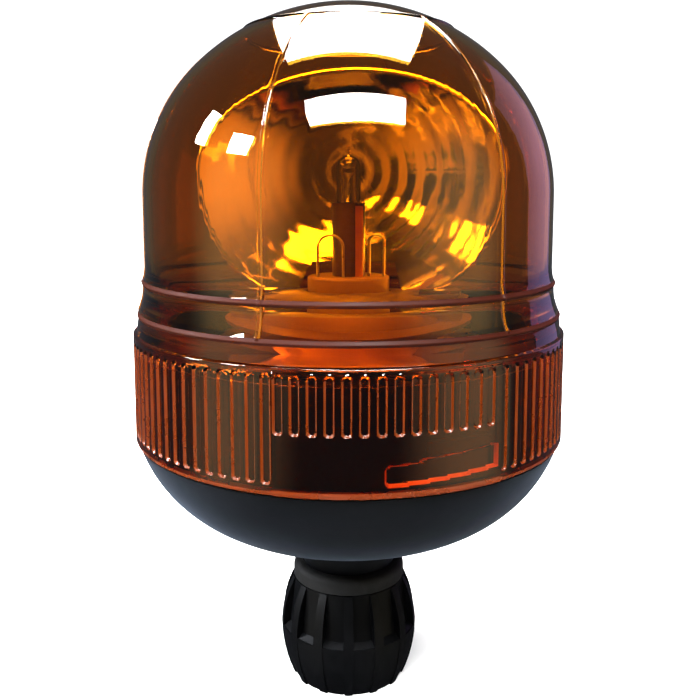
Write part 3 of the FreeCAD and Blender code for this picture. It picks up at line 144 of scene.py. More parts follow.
def studio():
    """A pale floor in a dim room with two ceiling panels, two windows and a violet glow from the right."""
    bpy.context.scene.world = dim_room()
    bpy.context.scene.view_settings.view_transform = "Standard"
    bpy.context.scene.view_settings.look = "Medium High Contrast"
    softbox("ceiling_panel", (0, 0.53, 0.98), (0, 0.53, 0), size=(0.66, 1.1), power=17, spread=120)
    softbox("front_panel", (0.05, -0.5415, 0.83), DOME_MIDDLE, size=(0.7, 0.26), power=5.5, spread=70)
    softbox("window_far", (-0.816, -0.01, 0.6), DOME_MIDDLE, size=(0.12, 0.23), power=1.6, spread=60,
            colour=DAYLIGHT)
    softbox("window_near", (-0.753, -0.411, 0.57), DOME_MIDDLE, size=(0.2, 0.16), power=1.2, spread=60,
            colour=DAYLIGHT)
    softbox("side_fill", (0.807, 0.565, 0.354), DOME_MIDDLE, size=(0.6, 0.9), power=0.3, spread=90,
            colour=VIOLET)
    reach = FLOOR_REACH
    corners = [(-reach, -reach, 0), (reach, -reach, 0), (reach, reach, 0), (-reach, reach, 0)]
    floor = add_mesh("floor", corners, [(0, 1, 2, 3)], painted_board())
    floor.location.z = -FLOOR_GAP
    # the lens and the satin base show the dim room, not the board
    floor.visible_transmission = False
    floor.visible_glossy = False
    light_floor(floor)


def light_floor(floor):
    """A wide soft light from above that falls on the floor alone."""
    light = bpy.data.lights.new("floor_light", "SUN")
    light.energy = 3.6
    light.angle = math.radians(60)
    thing = bpy.data.objects.new("floor_light", light)
    bpy.context.collection.objects.link(thing)
    lit = bpy.data.collections.new("floor_only")
    lit.objects.link(floor)
    thing.light_linking.receiver_collection = lit


# -------------------------------------------------------------------------------------------- materials

def linear(hex_colour):
    """An sRGB hex colour as linear RGBA."""
    channels = [int(hex_colour[i:i + 2], 16) / 255 for i in (1, 3, 5)]
    return tuple(c / 12.92 if c <= 0.04045 else ((c + 0.055) / 1.055) ** 2.4 for c in channels) + (1.0,)


def add_node(tree, kind, settings=None, links=None):
    """Adds a node. Settings name inputs or properties; links name inputs and the outputs that feed them."""
    node = tree.nodes.new(kind)
    for name, value in (settings or {}).items():
        if isinstance(name, int) or name in node.inputs:
            node.inputs[name].default_value = value
        else:
            setattr(node, name, value)
    for name, output in (links or {}).items():
        tree.links.new(output, node.inputs[name])
    return node


def new_material(name, **shader):
    """A material with one Principled shader whose constants are set on the shader itself."""
    material = bpy.data.materials.new(name)
    material.use_nodes = True
    tree = material.node_tree
    principled = tree.nodes["Principled BSDF"]
    for key, value in shader.items():
        principled.inputs[key.replace("_", " ")].default_value = value
    return material, tree, principled


def surface(name, shades, gloss, patch_mm, grain_mm, relief_mm, stretch=(1, 1, 1), **shader):
    """A finish whose shade and gloss drift over patch_mm, under a fine relief of grain_mm."""
    material, tree, principled = new_material(name, **shader)
    place = add_node(tree, "ShaderNodeTexCoord")
    run = add_node(tree, "ShaderNodeMapping", {"Scale": stretch}, {"Vector": place.outputs["Object"]})
    patches = add_node(tree, "ShaderNodeTexNoise", {"Scale": 1000 / patch_mm, "Detail": 4},
                       {"Vector": run.outputs["Vector"]})
    grain = add_node(tree, "ShaderNodeTexNoise", {"Scale": 1000 / grain_mm, "Detail": 3},
                     {"Vector": run.outputs["Vector"]})
    colour = add_node(tree, "ShaderNodeMix",
                      {"data_type": "RGBA", 6: linear(shades[0]), 7: linear(shades[1])},
                      {0: patches.outputs["Fac"]})
    sheen = add_node(tree, "ShaderNodeMapRange", {"From Min": 0.3, "From Max": 0.7, "To Min": gloss[0],
                                                  "To Max": gloss[1]}, {"Value": patches.outputs["Fac"]})
    relief = add_node(tree, "ShaderNodeBump", {"Strength": 0.5, "Distance": relief_mm * MM},
                      {"Height": grain.outputs["Fac"]})
    tree.links.new(colour.outputs[2], principled.inputs["Base Color"])
    tree.links.new(sheen.outputs["Result"], principled.inputs["Roughness"])
    tree.links.new(relief.outputs["Normal"], principled.inputs["Normal"])
    return material


def painted_board():
    """Matt white paint, rolled: almost even, with a faint mottle."""
    return surface("painted_board", ("#F3F3F3", "#FAFAFA"), (0.85, 0.95), 300, 2, 0.02)


def amber_polycarbonate():
    """Injection-moulded amber polycarbonate: clear, high gloss, with a slight haze where it was wiped."""
    material, tree, principled = new_material(
        "amber_polycarbonate", Base_Color=linear("#F9B63C"), IOR=1.585, Transmission_Weight=1.0)
    place = add_node(tree, "ShaderNodeTexCoord")
    haze = add_node(tree, "ShaderNodeTexNoise", {"Scale": 1000 / 40, "Detail": 6},
                    {"Vector": place.outputs["Object"]})
    gloss = add_node(tree, "ShaderNodeMapRange",
                     {"From Min": 0.45, "From Max": 0.8, "To Min": 0.0, "To Max": 0.05},
                     {"Value": haze.outputs["Fac"]})
    tree.links.new(gloss.outputs["Result"], principled.inputs["Roughness"])
    return material


def amber_painted_glow():
    """Painted glow on the same plastic along the moulded edges, where light caught in the wall comes out:
    orange, hazy.
    """
    return surface("amber_polycarbonate_painted_glow", ("#7A3003", "#8E3E05"), (0.2, 0.35), 12, 0.8, 0.01,
                   IOR=1.585, Transmission_Weight=0.62, Specular_IOR_Level=0.14)


def amber_painted_ring_shade():
    """The same plastic on the two rounded rings, with painted shade: dark red brown, satin."""
    return surface("amber_polycarbonate_painted_ring_shade", ("#2A0B02", "#381203"), (0.5, 0.65), 12, 0.8, 0.01,
                   IOR=1.585, Transmission_Weight=0.15, Specular_IOR_Level=0.05)


def amber_shaded_skirt():
    """The same plastic below the waist, with painted shade: a redder, darker amber than above, still clear,
    with a weaker shine.
    """
    return new_material("amber_polycarbonate_shaded_skirt", Base_Color=linear("#E4781E"), IOR=1.585,
                        Roughness=0.02, Transmission_Weight=1.0, Specular_IOR_Level=0.28)[0]


def amber_painted_ramp_highlight():
    """A painted highlight on the same plastic along the outlines of the bayonet ramps, seen through the
    wall: pale orange, satin.
    """
    return surface("amber_polycarbonate_painted_ramp_highlight", ("#E8702C", "#F08440"), (0.3, 0.4), 12, 0.8, 0.01,
                   IOR=1.585, Transmission_Weight=0.2)


def amber_painted_rib_glow():
    """Painted golden glow on the same plastic, on lines along the thin ribs of the dome and each side of
    its crown ring.
    """
    return surface("amber_polycarbonate_painted_rib_glow", ("#B8680A", "#CC7C10"), (0.1, 0.25), 12, 0.8, 0.01,
                   IOR=1.585, Transmission_Weight=0.75)


def vacuum_chrome():
    """Vacuum-metallised plastic under a straw-coloured lacquer: a mirror with its mould's faint rings."""
    material, tree, principled = new_material("vacuum_chrome", Base_Color=linear("#E9F0C4"), Metallic=1.0)
    place = add_node(tree, "ShaderNodeTexCoord")
    axis = add_node(tree, "ShaderNodeMapping", {"Location": (0, 0, -MIRROR_AXIS * MM)},
                    {"Vector": place.outputs["Object"]})
    # a wave texture of scale 1 repeats every 2 pi / 20 of a metre, so this puts the rings 6 mm apart
    rings = add_node(tree, "ShaderNodeTexWave", {"wave_type": "RINGS", "rings_direction": "Y",
                                                 "Scale": 2 * math.pi * 1000 / 6 / 20, "Distortion": 0.2},
                     {"Vector": axis.outputs["Vector"]})
    haze = add_node(tree, "ShaderNodeTexNoise", {"Scale": 1000 / 18, "Detail": 3},
                    {"Vector": axis.outputs["Vector"]})
    gloss = add_node(tree, "ShaderNodeMapRange", {"To Min": 0.03, "To Max": 0.1},
                     {"Value": haze.outputs["Fac"]})
    waves = add_node(tree, "ShaderNodeTexNoise", {"Scale": 1000 / 16, "Detail": 1},
                     {"Vector": axis.outputs["Vector"]})
    warp = add_node(tree, "ShaderNodeBump", {"Strength": 0.5, "Distance": 0.5 * MM},
                    {"Height": waves.outputs["Fac"]})
    ripple = add_node(tree, "ShaderNodeBump", {"Strength": 0.5, "Distance": 0.08 * MM},
                      {"Height": rings.outputs["Fac"], "Normal": warp.outputs["Normal"]})
    tree.links.new(gloss.outputs["Result"], principled.inputs["Roughness"])
    tree.links.new(ripple.outputs["Normal"], principled.inputs["Normal"])
    return material


def quartz():
    """Fused quartz of a halogen capsule: clear and thin, with a trace of drawing lines."""
    material, tree, principled = new_material(
        "quartz", Base_Color=linear("#F4F7F7"), IOR=1.46, Transmission_Weight=1.0, Roughness=0.0)
    place = add_node(tree, "ShaderNodeTexCoord")
    lines = add_node(tree, "ShaderNodeTexNoise", {"Scale": 1000 / 6, "Detail": 2},
                     {"Vector": place.outputs["Object"]})
    wave = add_node(tree, "ShaderNodeBump", {"Strength": 0.1, "Distance": 0.02 * MM},
                    {"Height": lines.outputs["Fac"]})
    tree.links.new(wave.outputs["Normal"], principled.inputs["Normal"])
    return material


def finishes():
    """One finish for each material slot of the part."""
    return {
        "lens_amber": amber_polycarbonate(),
        # lens_amber is the plastic itself; the other lens finishes are its copies with painted glow,
        # highlight and shade
        "lens_painted_glow": amber_painted_glow(),
        "lens_painted_rib_glow": amber_painted_rib_glow(),
        "lens_painted_ramp_highlight": amber_painted_ramp_highlight(),
        "lens_painted_ring_shade": amber_painted_ring_shade(),
        "lens_shaded_skirt": amber_shaded_skirt(),
        # Moulded ABS with a fine spark-eroded grain, drawn at 0.8 mm so that it shows: a soft satin sheen.
        # The blue-grey sheen tint paints a bluish reflection of the room along the grazing edges.
        "black_abs": surface("satin_black_abs", ("#07080A", "#0B0C0F"), (0.38, 0.52), 26, 0.8, 0.03,
                             IOR=1.54, Specular_IOR_Level=0.2, Sheen_Weight=0.16, Sheen_Roughness=0.35,
                             Sheen_Tint=linear("#A9BCD6")),
        # Glass-filled nylon, moulded: a little greyer and duller than the ABS.
        "black_nylon": surface("black_nylon", ("#040507", "#08090C"), (0.42, 0.6), 14, 0.9, 0.05, IOR=1.53,
                               Specular_IOR_Level=0.15),
        # Moulded nitrile rubber: matt, with a dusty bloom.
        "rubber": surface("nitrile_rubber", ("#08080A", "#111214"), (0.7, 0.9), 8, 0.7, 0.06, IOR=1.52),
        # Rolled steel, zinc plated and passivated: bright grey with a faint spangle.
        "steel": surface("zinc_plated_steel", ("#A9ABAE", "#C9CACB"), (0.22, 0.4), 5, 0.5, 0.01,
                         Metallic=1.0),
        "chrome": vacuum_chrome(),
        # Moulded acetal, cream aged to olive: waxy, with a trace of light through it.
        "cream_plastic": surface("cream_acetal", ("#575040", "#665D4A"), (0.34, 0.5), 30, 0.8, 0.02,
                                 IOR=1.48, Subsurface_Weight=0.1,
                                 Subsurface_Radius=(0.003, 0.002, 0.001)),
        # Moulded urea lampholder: warm grey, slightly mottled.
        "holder_plastic": surface("urea_holder", ("#6E5D48", "#84725A"), (0.4, 0.6), 4, 0.8, 0.03),
        # Moulded phenolic: dark brown with a paper-like fleck.
        "dark_phenolic": surface("phenolic", ("#231610", "#3A261B"), (0.35, 0.55), 2, 0.6, 0.02, IOR=1.6),
        # Rolled brass strip: drawn along its length, lightly dulled.
        "brass": surface("rolled_brass", ("#B08D4C", "#CBA965"), (0.25, 0.45), 4, 0.5, 0.01, Metallic=1.0),
        # Rolled copper strip, a little tarnished.
        "copper": surface("rolled_copper", ("#B87B50", "#D0946A"), (0.28, 0.5), 4, 0.5, 0.01, Metallic=1.0),
        # Sintered bronze: fine open pores that hold oil.
        "bronze": surface("sintered_bronze", ("#7C5B35", "#96734A"), (0.45, 0.65), 3, 0.4, 0.04,
                          Metallic=1.0),
        "glass": quartz(),
        # Drawn tungsten wire: dark grey metal with draw lines.
        "tungsten": surface("drawn_tungsten", ("#5A5A5C", "#77777A"), (0.3, 0.5), 1, 0.2, 0.01,
                            Metallic=1.0),
        # Pressed ferrite: charcoal, matt and slightly granular.
        "magnet": surface("pressed_ferrite", ("#2A2B2E", "#3A3B3E"), (0.6, 0.8), 4, 0.5, 0.04),
        # Stamped electrical steel laminations, lightly oiled.
        "iron": surface("lamination_steel", ("#5E5F61", "#7A7B7D"), (0.35, 0.55), 5, 0.5, 0.03,
                        Metallic=1.0),
        # Dipped epoxy over a film capacitor: blue, glossy and a little uneven.
        "blue_film": surface("dipped_epoxy", ("#1E4C9A", "#2B62B5"), (0.12, 0.25), 6, 2, 0.08),
        # Extruded PVC sheaths of the wires: soft gloss.
        "red_pvc": surface("red_pvc", ("#A81712", "#C0231B"), (0.3, 0.42), 8, 0.6, 0.02),
        "black_pvc": surface("black_pvc", ("#121212", "#1C1C1C"), (0.3, 0.42), 8, 0.6, 0.02),
    }


# --------------------------------------------------------------------------------------------- mesh tools

def add_mesh(name, points, faces, material, crease=30):
    """A smooth-shaded mesh object whose edges stay sharp above the crease angle, in degrees."""
    mesh = bpy.data.meshes.new(name)
    mesh.from_pydata([tuple(point) for point in points], [], faces)
    mesh.validate()
    mesh.shade_smooth()
    mesh.set_sharp_from_angle(angle=math.radians(crease))
    mesh.materials.append(material)
    thing = bpy.data.objects.new(name, mesh)
    bpy.context.collection.objects.link(thing)
    return thing


def arc(centre, radius, start, end, steps):
    """Points (radius, height) along an arc, angles in degrees from the horizontal."""
    points = []
    for index in range(steps + 1):
        angle = math.radians(start + (end - start) * index / steps)
        points.append((centre[0] + radius * math.cos(angle), centre[1] + radius * math.sin(angle)))
    return points


def skin(low, high):
    """Faces between two rings of points, where a ring may be one repeated point."""
    faces = []
    for index in range(len(low)):
        onward = (index + 1) % len(low)
        corners = [low[index], low[onward], high[onward], high[index]]
        unique = list(dict.fromkeys(corners))
        if len(unique) > 2:
            faces.append(unique)
    return faces


def stack(rows):
    """Faces between each ring of a list and the next."""
    return [face for low, high in zip(rows, rows[1:]) for face in skin(low, high)]


def tube(name, points, sides, material):
    """A tube through rings of points, one ring after another, with a flat face at each end."""
    rows = [list(range(first, first + sides)) for first in range(0, len(points), sides)]
    return add_mesh(name, points, stack(rows) + [rows[0][::-1], rows[-1]], material, crease=60)


# ------------------------------------------------------------------------------------------------- lens

# Radii and heights are in millimetres and directions in degrees from the front, as everywhere below.
# lens_amber first, then its copies with painted glow, painted highlight and painted shade
LENS_FINISHES = ("lens_amber", "lens_painted_glow", "lens_painted_rib_glow", "lens_painted_ramp_highlight", "lens_painted_ring_shade", "lens_shaded_skirt")
LENS_WALL = 2.2
LENS_FOOT = foot_of("lens_dome") / MM
LENS_TOP = top_of("lens_dome") / MM
SECTORS = (0, 120, 240)
LEAST_TURN = 0.12

# The dome springs from the barrel at the height SPRING: a knuckle arc, then a crown arc, with ribs up its
# side and a ring round its crown. The columns of points across a rib are laid out at one radius.
BARREL = 66.3
SPRING = 164.7
KNUCKLE = 58.0
CROWN = 69.83
CROWN_RING = 33.7
CROWN_RING_ROWS = (-0.75, -0.5, -0.2, 0.2, 0.5, 0.75)
CROWN_RING_CLEAR = 1.2
CROWN_RING_SLOPE = (0.4, 0.7)
RIBS = [-20.4 + 60 * i for i in range(6)]
RIB_FOOT = 128
RIB_HALF = 0.65
RIB_PROUD = 0.4
RIB_SLOPE = 0.22
RIB_COLUMNS = (-0.66, -0.5, -0.3, 0, 0.3, 0.5, 0.66)
RIB_COLUMNS_AT = 60

# The two rounded rings below the dome.
SHOULDER_RING = 127.4
WAIST_RING = 137.4
# RING_HALF is half the height of the painted shade on each ring
RING_HALF = 0.8

# The band: smooth panels that stand proud, and flutes cut in with round ends.
BAND = 70.55
BAND_TOP = 121.2
PANEL = (-16.6, 36.4)
PANEL_PROUD = 0.42
PANEL_COLUMNS = (-0.16, 0, 0.16)
PANEL_SLOPE = 0.15
PANEL_FADE = (BAND_TOP - 1.2, BAND_TOP - 0.6)
SHORT_FLUTES = [-15.1 + 3.69 * i for i in range(14)]
LONG_FLUTES = [-18.0 - 3.6 * i for i in range(19)]
SHORT_FOOT = 103.7
LONG_FOOT = 90.0
FLUTE_TOP = 119.8
FLUTE_HALF = 1.35
FLUTE_DEPTH = 0.7
FLUTE_SLOPE = (FLUTE_HALF - 0.3, FLUTE_HALF + 0.05)
FLUTE_COLUMNS = (-1.46, -1.33, -1.1, -0.92, -0.5, 0, 0.5, 0.92, 1.1, 1.33, 1.46)
FLUTE_ROWS = (0, 0.2, 0.5, 0.9, 1.35)
BAND_ROWS = [88.3, 88.9, 89.6, 95, 98, 101, 103.2, 108, 111, 114, 116.5, 120.1, 120.45, 120.8]

# The bayonet ramps inside the band: round at the left end, with a step in the top, and rising to the right.
# RAMP_LOW and RAMP_HIGH are the heights of a ramp's underside and top at its left end.
RAMP_START = 8.0
RAMP_SPAN = 28
RAMP_LOW = 89.8
RAMP_LOW_RISE = 1.9
RAMP_HIGH = 95.0
RAMP_HIGH_RISE = 2.1
RAMP_STEP = 0.7
RAMP_STEP_FROM = 7.6
RAMP_STEP_TO = 8.4
RAMP_ROUND = 1.6
RAMP_DEPTH = 2.3
RAMP_SLOPE = 0.25
RAMP_ZONE = (88.8, 99.4)
RAMP_ROW = 0.35
RAMP_START_COLUMNS = (-0.4, 0, 0.4, 0.8, 1.2)
RAMP_END_COLUMNS = (-0.3, 0, 0.3)
# millimetres along the inner wall for each degree
ALONG_RAMP = 1.24

# Where the wall gets painted light. The foot's painted glow is FOOT_EDGE high, and FOOT_EDGE_ON_PANEL
# higher on a panel. The other painted marks are lines. For a flute and a rib: how far in from its outline
# the glow line's middle lies, and half the line's width. For the crown ring: how far to each side of the
# ring's middle it lies, and half its width. A ramp's painted highlight lies on the ramp's outline, and
# RAMP_EDGE is half its width.
FOOT_EDGE = 0.9
FOOT_EDGE_ON_PANEL = 0.5
FLUTE_EDGE = (0.15, 0.24)
RIB_EDGE = (0.1, 0.16)
CROWN_RING_EDGE = (0.55, 0.15)
RAMP_EDGE = 0.35


def smooth_step(value, low, high):
    """0 below low and 1 above high, with a smooth rise between."""
    share = min(max((value - low) / (high - low), 0), 1)
    return share * share * (3 - 2 * share)


def turn_between(angle, other):
    """The signed angle from other to angle, in degrees."""
    return (angle - other + 180) % 360 - 180


def dome_line(inset, steps):
    """The dome's section from its spring line to the axis: a knuckle arc, then a tangent crown arc."""
    tall = LENS_TOP - SPRING - inset
    knuckle = KNUCKLE - inset
    shift = BARREL - KNUCKLE
    crown = (shift ** 2 + tall ** 2 - knuckle ** 2) / (2 * (tall - knuckle))
    drop = crown - tall
    meet = math.degrees(math.atan2(drop, shift))
    points = arc((shift, SPRING), knuckle, 0, meet, steps)
    points += arc((0, SPRING - drop), crown, meet, 90, steps)[1:]
    points[-1] = (0, SPRING + tall)
    return points


def flutes_near(azimuth):
    """The nearest flute to a direction: (offset in degrees, height of its foot)."""
    nearest = (360, 0)
    for flutes, foot in ((SHORT_FLUTES, SHORT_FOOT), (LONG_FLUTES, LONG_FOOT)):
        for sector in SECTORS:
            for flute in flutes:
                offset = turn_between(azimuth, flute + sector)
                if abs(offset) < abs(nearest[0]):
                    nearest = (offset, foot)
    return nearest


def panel_share(azimuth, height):
    """1 on a smooth panel of the band and 0 off it, with a short step between."""
    share = 0
    for sector in SECTORS:
        middle = (PANEL[0] + PANEL[1]) / 2 + sector
        half = (PANEL[1] - PANEL[0]) / 2
        offset = abs(turn_between(azimuth, middle))
        share = max(share, 1 - smooth_step(offset, half - PANEL_SLOPE, half + PANEL_SLOPE))
    return share * (1 - smooth_step(height, *PANEL_FADE))


def ramp_distance(azimuth, height):
    """How far a spot inside the lens lies outside a bayonet ramp's outline; below 0 on the ramp."""
    for sector in SECTORS:
        along = turn_between(azimuth, RAMP_START + sector)
        if not -1 < along < RAMP_SPAN + 1:
            continue
        low = RAMP_LOW + RAMP_LOW_RISE * along / RAMP_SPAN
        step = RAMP_STEP * smooth_step(along, RAMP_STEP_FROM, RAMP_STEP_TO)
        high = RAMP_HIGH + RAMP_HIGH_RISE * along / RAMP_SPAN + step
        across = abs(height - (low + high) / 2) - ((high - low) / 2 - RAMP_ROUND)
        before = RAMP_ROUND - along * ALONG_RAMP
        outside = math.hypot(max(across, 0), max(before, 0)) - RAMP_ROUND
        if along > RAMP_SPAN / 2:
            outside = max(outside, (along - RAMP_SPAN) * ALONG_RAMP)
        return outside
    return LENS_WALL


def rib_share(azimuth, radius):
    """1 on a rib of the dome and 0 off it, with a short slope between."""
    offset = min(abs(turn_between(azimuth, rib)) for rib in RIBS)
    across = math.radians(offset) * radius
    return 1 - smooth_step(across, RIB_HALF - RIB_SLOPE, RIB_HALF)


def lens_directions():
    """Directions where the lens has points: several across each flute, rib, panel edge and ramp end."""
    marks = []
    for sector in SECTORS:
        for flute in SHORT_FLUTES + LONG_FLUTES:
            marks += [sector + flute + math.degrees(offset / BAND) for offset in FLUTE_COLUMNS]
        marks += [sector + edge + offset for edge in PANEL for offset in PANEL_COLUMNS]
        marks += [sector + RAMP_START + offset for offset in RAMP_START_COLUMNS]
        marks += [sector + RAMP_START + RAMP_SPAN + offset for offset in RAMP_END_COLUMNS]
    for rib in RIBS:
        marks += [rib + math.degrees(offset / RIB_COLUMNS_AT) for offset in RIB_COLUMNS]
    marks = sorted(mark % 360 for mark in marks)
    spaced = [marks[0]]
    for mark in marks[1:]:
        if mark - spaced[-1] > LEAST_TURN:
            spaced.append(mark)
    return spaced


def lens_outer_line():
    """The outer section from the foot to the axis, with close rows at the ends of the flutes."""
    heights = [LENS_FOOT + 0.45] + BAND_ROWS
    for foot in (LONG_FOOT, SHORT_FOOT):
        heights += [foot + step for step in FLUTE_ROWS + (2.2,)]
    heights += [FLUTE_TOP - step for step in FLUTE_ROWS]
    points = [(BAND - 0.35, LENS_FOOT)]
    points += [(BAND, height) for height in sorted(heights)]
    points += arc((BAND - 0.4, BAND_TOP), 0.4, 0, 80, 4)
    points += [(69.7, 121.75), (69.45, 121.9), (69.35, 122.3), (69.1, 124.5), (68.85, 126.7)]
    points += arc((68.75, SHOULDER_RING), 0.42, -65, 65, 5)
    points += [(68.65, 128.5), (68.0, 130.2), (67.35, 132.3), (67.05, 134.5), (67.0, 136.6)]
    points += arc((67.0, WAIST_RING), 0.48, -65, 65, 5)
    points += [(66.95, 138.5), (66.6, 139.6), (BARREL, 142), (BARREL, 148), (BARREL, 154), (BARREL, 160)]
    dome = dome_line(0, 26)
    close = [(radius, height) for radius, height in dome if abs(radius - CROWN_RING) > CROWN_RING_CLEAR]
    curve = dome[-1][1] - CROWN
    for offset in CROWN_RING_ROWS:
        radius = CROWN_RING + offset
        close.append((radius, curve + math.sqrt(CROWN ** 2 - radius ** 2)))
    return points + sorted(close, key=lambda point: -point[0])


def lens_inner_line():
    """The inner section from the axis down to the foot, with close rows at the bayonet ramps."""
    inside = BAND - LENS_WALL
    points = list(reversed(dome_line(LENS_WALL, 18)))
    points += [(BARREL - LENS_WALL, height) for height in (154, 144, 134, 127)]
    points += [(65.2, 124.0), (67.4, 121.3), (inside, 119.4), (inside, 112), (inside, 104)]
    low, high = RAMP_ZONE
    ramp_rows = int((high - low) / RAMP_ROW)
    points += [(inside, high - RAMP_ROW * index) for index in range(ramp_rows + 1)]
    return points + [(inside, LENS_FOOT)]


def lens_finish(azimuth, radius, height, inside):
    """Which material a spot of the lens gets: painted glow on its foot, flute outlines, ribs and crown
    ring, a painted highlight on the ramps' outlines, and painted shade on the rings and below the waist.
    """
    # the foot's edge gets painted glow, higher on a panel
    if height < LENS_FOOT + FOOT_EDGE + FOOT_EDGE_ON_PANEL * panel_share(azimuth, height):
        return "lens_painted_glow"
    # below the waist the plain wall gets painted shade
    plain = "lens_shaded_skirt" if height < WAIST_RING else "lens_amber"
    # inside, a band on the ramps' outlines gets a painted highlight
    if inside:
        return "lens_painted_ramp_highlight" if abs(ramp_distance(azimuth, height)) < RAMP_EDGE else plain
    # the two rounded rings get painted shade
    if min(abs(height - SHOULDER_RING), abs(height - WAIST_RING)) < RING_HALF:
        return "lens_painted_ring_shade"
    # lines along the ribs get painted golden glow
    if height > RIB_FOOT and radius > CROWN_RING:
        offset = min(abs(turn_between(azimuth, rib)) for rib in RIBS)
        inset, half = RIB_EDGE
        return "lens_painted_rib_glow" if abs(math.radians(offset) * radius - RIB_HALF + inset) < half else "lens_amber"
    # lines each side of the crown ring get the same painted golden glow
    if height > SPRING:
        outset, half = CROWN_RING_EDGE
        return "lens_painted_rib_glow" if abs(abs(radius - CROWN_RING) - outset) < half else "lens_amber"
    offset, foot = flutes_near(azimuth)
    if not foot - 1 < height < FLUTE_TOP - FLUTE_HALF:
        return plain
    # a flute's outline gets painted glow
    over = max(foot + FLUTE_HALF - height, 0)
    inset, half = FLUTE_EDGE
    distance = math.hypot(math.radians(offset) * BAND, over)
    return "lens_painted_glow" if abs(distance - FLUTE_HALF + inset) < half else plain


def outer_relief(azimuth, flute, radius, height):
    """How far a spot stands proud of the outer section; below 0 in a flute."""
    offset, foot = flute
    proud = PANEL_PROUD * panel_share(azimuth, height)
    if foot - 1 < height < FLUTE_TOP + 1:
        across = math.radians(offset) * BAND
        over = max(foot + FLUTE_HALF - height, height - FLUTE_TOP + FLUTE_HALF, 0)
        proud -= FLUTE_DEPTH * (1 - smooth_step(math.hypot(across, over), *FLUTE_SLOPE))
    ring = 1 - smooth_step(abs(radius - CROWN_RING), *CROWN_RING_SLOPE) if height > SPRING else 0
    rib = rib_share(azimuth, radius) if height > RIB_FOOT and radius > CROWN_RING else 0
    return proud + RIB_PROUD * max(rib, ring)


def inner_relief(azimuth, height):
    """How far a spot stands out from the inner section; below 0 on a ramp, which stands inwards."""
    if not RAMP_ZONE[0] - 1 < height < RAMP_ZONE[1] + 1:
        return 0
    return -RAMP_DEPTH * (1 - smooth_step(ramp_distance(azimuth, height), -RAMP_SLOPE, RAMP_SLOPE))


def outward(section, index):
    """The direction (radius, height) of the relief at a spot: level, or the normal on the dome."""
    if section[index][1] <= SPRING - 1:
        return 1.0, 0.0
    before, after = section[max(index - 1, 0)], section[min(index + 1, len(section) - 1)]
    along = Vector((after[0] - before[0], after[1] - before[1])).normalized()
    return along[1], -along[0]


def add_rings(points, section, reliefs):
    """Adds a ring of points for each spot of a section, and one point on the axis; returns the rings.

    reliefs(radius, height) lists (direction, relief) round the ring.
    """
    rings = []
    for index, (radius, height) in enumerate(section):
        around = reliefs(radius, height)
        if radius < ON_AXIS:
            rings.append([len(points)] * len(around))
            points.append((0, 0, height * MM))
            continue
        slope = outward(section, index)
        rings.append(list(range(len(points), len(points) + len(around))))
        for azimuth, relief in around:
            angle = math.radians(azimuth - 90)
            reach = radius + relief * slope[0]
            points.append((reach * math.cos(angle) * MM, reach * math.sin(angle) * MM,
                           (height + relief * slope[1]) * MM))
    return rings


def lens():
    """The lens as one closed shell, its relief pushed out along the section's normal."""
    directions = lens_directions()
    flutes = [(azimuth, flutes_near(azimuth)) for azimuth in directions]
    points = []
    outer = add_rings(points, lens_outer_line(), lambda radius, height: [
        (azimuth, outer_relief(azimuth, flute, radius, height)) for azimuth, flute in flutes])
    inner_start = len(points)
    inner = add_rings(points, lens_inner_line(), lambda radius, height: [
        (azimuth, inner_relief(azimuth, height)) for azimuth in directions])
    faces = stack(outer) + stack(inner) + skin(inner[-1], outer[0])
    shell = add_mesh("lens_shell", points, faces, FINISH["lens_amber"], crease=40)
    for finish in LENS_FINISHES[1:]:
        shell.data.materials.append(FINISH[finish])
    # each face gets the plain amber or one of its copies with painted glow, highlight or shade
    for face in shell.data.polygons:
        centre = face.center / MM
        azimuth = math.degrees(math.atan2(centre.y, centre.x)) + 90
        inside = min(face.vertices) >= inner_start
        finish = lens_finish(azimuth, math.hypot(centre.x, centre.y), centre.z, inside)
        face.material_index = LENS_FINISHES.index(finish)
    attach(shell, "lens")
    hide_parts("lens_dome")


# -------------------------------------------------------------------------------------------- reflector

MIRROR_AXIS = 173.0
MIRROR_FOCUS = 24.0
MIRROR_RAD = 51.0
MIRROR_CROWN = 34.5
MIRROR_WALL = 1.6
MIRROR_TURN = math.radians(-7.6)
MIRROR_CUT = 3.2
RIM_BEAD = 0.95
RIM_SIDES = 12
RIM_STEPS = 240


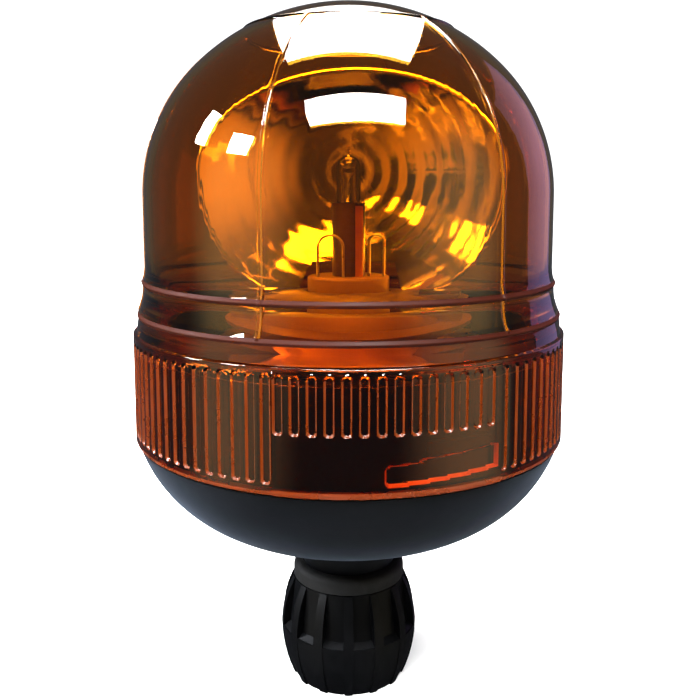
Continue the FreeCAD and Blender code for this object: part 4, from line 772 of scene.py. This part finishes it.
def rim_line():
    """The reflector's outline: a circle's sides under half an ellipse, on a paraboloid turned a little."""
    low = math.degrees(math.asin((foot_of("reflector") / MM + MIRROR_CUT - MIRROR_AXIS) / MIRROR_RAD))
    line = []
    for index in range(RIM_STEPS + 1):
        angle = math.radians(low + (180 - 2 * low) * index / RIM_STEPS)
        x = MIRROR_RAD * math.cos(angle)
        up = (MIRROR_CROWN if math.sin(angle) > 0 else MIRROR_RAD) * math.sin(angle)
        y = MIRROR_FOCUS - (x * x + up * up) / (4 * MIRROR_FOCUS) + MIRROR_WALL / 2
        line.append(Vector((x * math.cos(MIRROR_TURN) - y * math.sin(MIRROR_TURN),
                            x * math.sin(MIRROR_TURN) + y * math.cos(MIRROR_TURN), MIRROR_AXIS + up)))
    return line


def reflector_rim():
    """The reflector's rolled rim: a bead along its outline."""
    line = rim_line()
    points = []
    for index, spot in enumerate(line):
        along = (line[min(index + 1, RIM_STEPS)] - line[max(index - 1, 0)]).normalized()
        across = along.cross(Vector((0, 1, 0))).normalized()
        back = along.cross(across)
        for side in range(RIM_SIDES):
            angle = 2 * math.pi * side / RIM_SIDES
            points.append((spot + RIM_BEAD * (math.cos(angle) * across + math.sin(angle) * back)) * MM)
    rim = tube("reflector_rim", points, RIM_SIDES, FINISH["chrome"])
    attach(rim, "rotor")


# ----------------------------------------------------------------------------------------------- spring

COIL_WIRE = 0.35
COIL_RAD = 3.6
COIL_TURNS = 6
COIL_SIDES = 8
COIL_STEPS = 24


def contact_spring():
    """The coil spring that presses the centre contact down."""
    low, high = (corner.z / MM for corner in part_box("contact_spring"))
    rise = high - low - 2 * COIL_WIRE
    points = []
    for index in range(COIL_TURNS * COIL_STEPS + 1):
        angle = 2 * math.pi * index / COIL_STEPS
        height = low + COIL_WIRE + rise * index / (COIL_TURNS * COIL_STEPS)
        for side in range(COIL_SIDES):
            around = 2 * math.pi * side / COIL_SIDES
            reach = COIL_RAD + COIL_WIRE * math.cos(around)
            points.append((reach * math.cos(angle) * MM, reach * math.sin(angle) * MM,
                           (height + COIL_WIRE * math.sin(around)) * MM))
    coil = tube("contact_spring_coil", points, COIL_SIDES, FINISH["steel"])
    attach(coil, "base")
    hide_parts("contact_spring")
    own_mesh(coil)


# ------------------------------------------------------------------------------------------------ build

def dress_nodes():
    """Gives each carried-over solid the finish of its material slot."""
    slots = {part["node"]: part["material_slot"] for part in frame["record"]["subparts"]}
    for node, thing in frame["nodes"].items():
        for slot in thing.material_slots:
            slot.material = FINISH[slots[node]]


make_camera()
studio()
FINISH = finishes()
dress_nodes()
lens()
reflector_rim()
contact_spring()
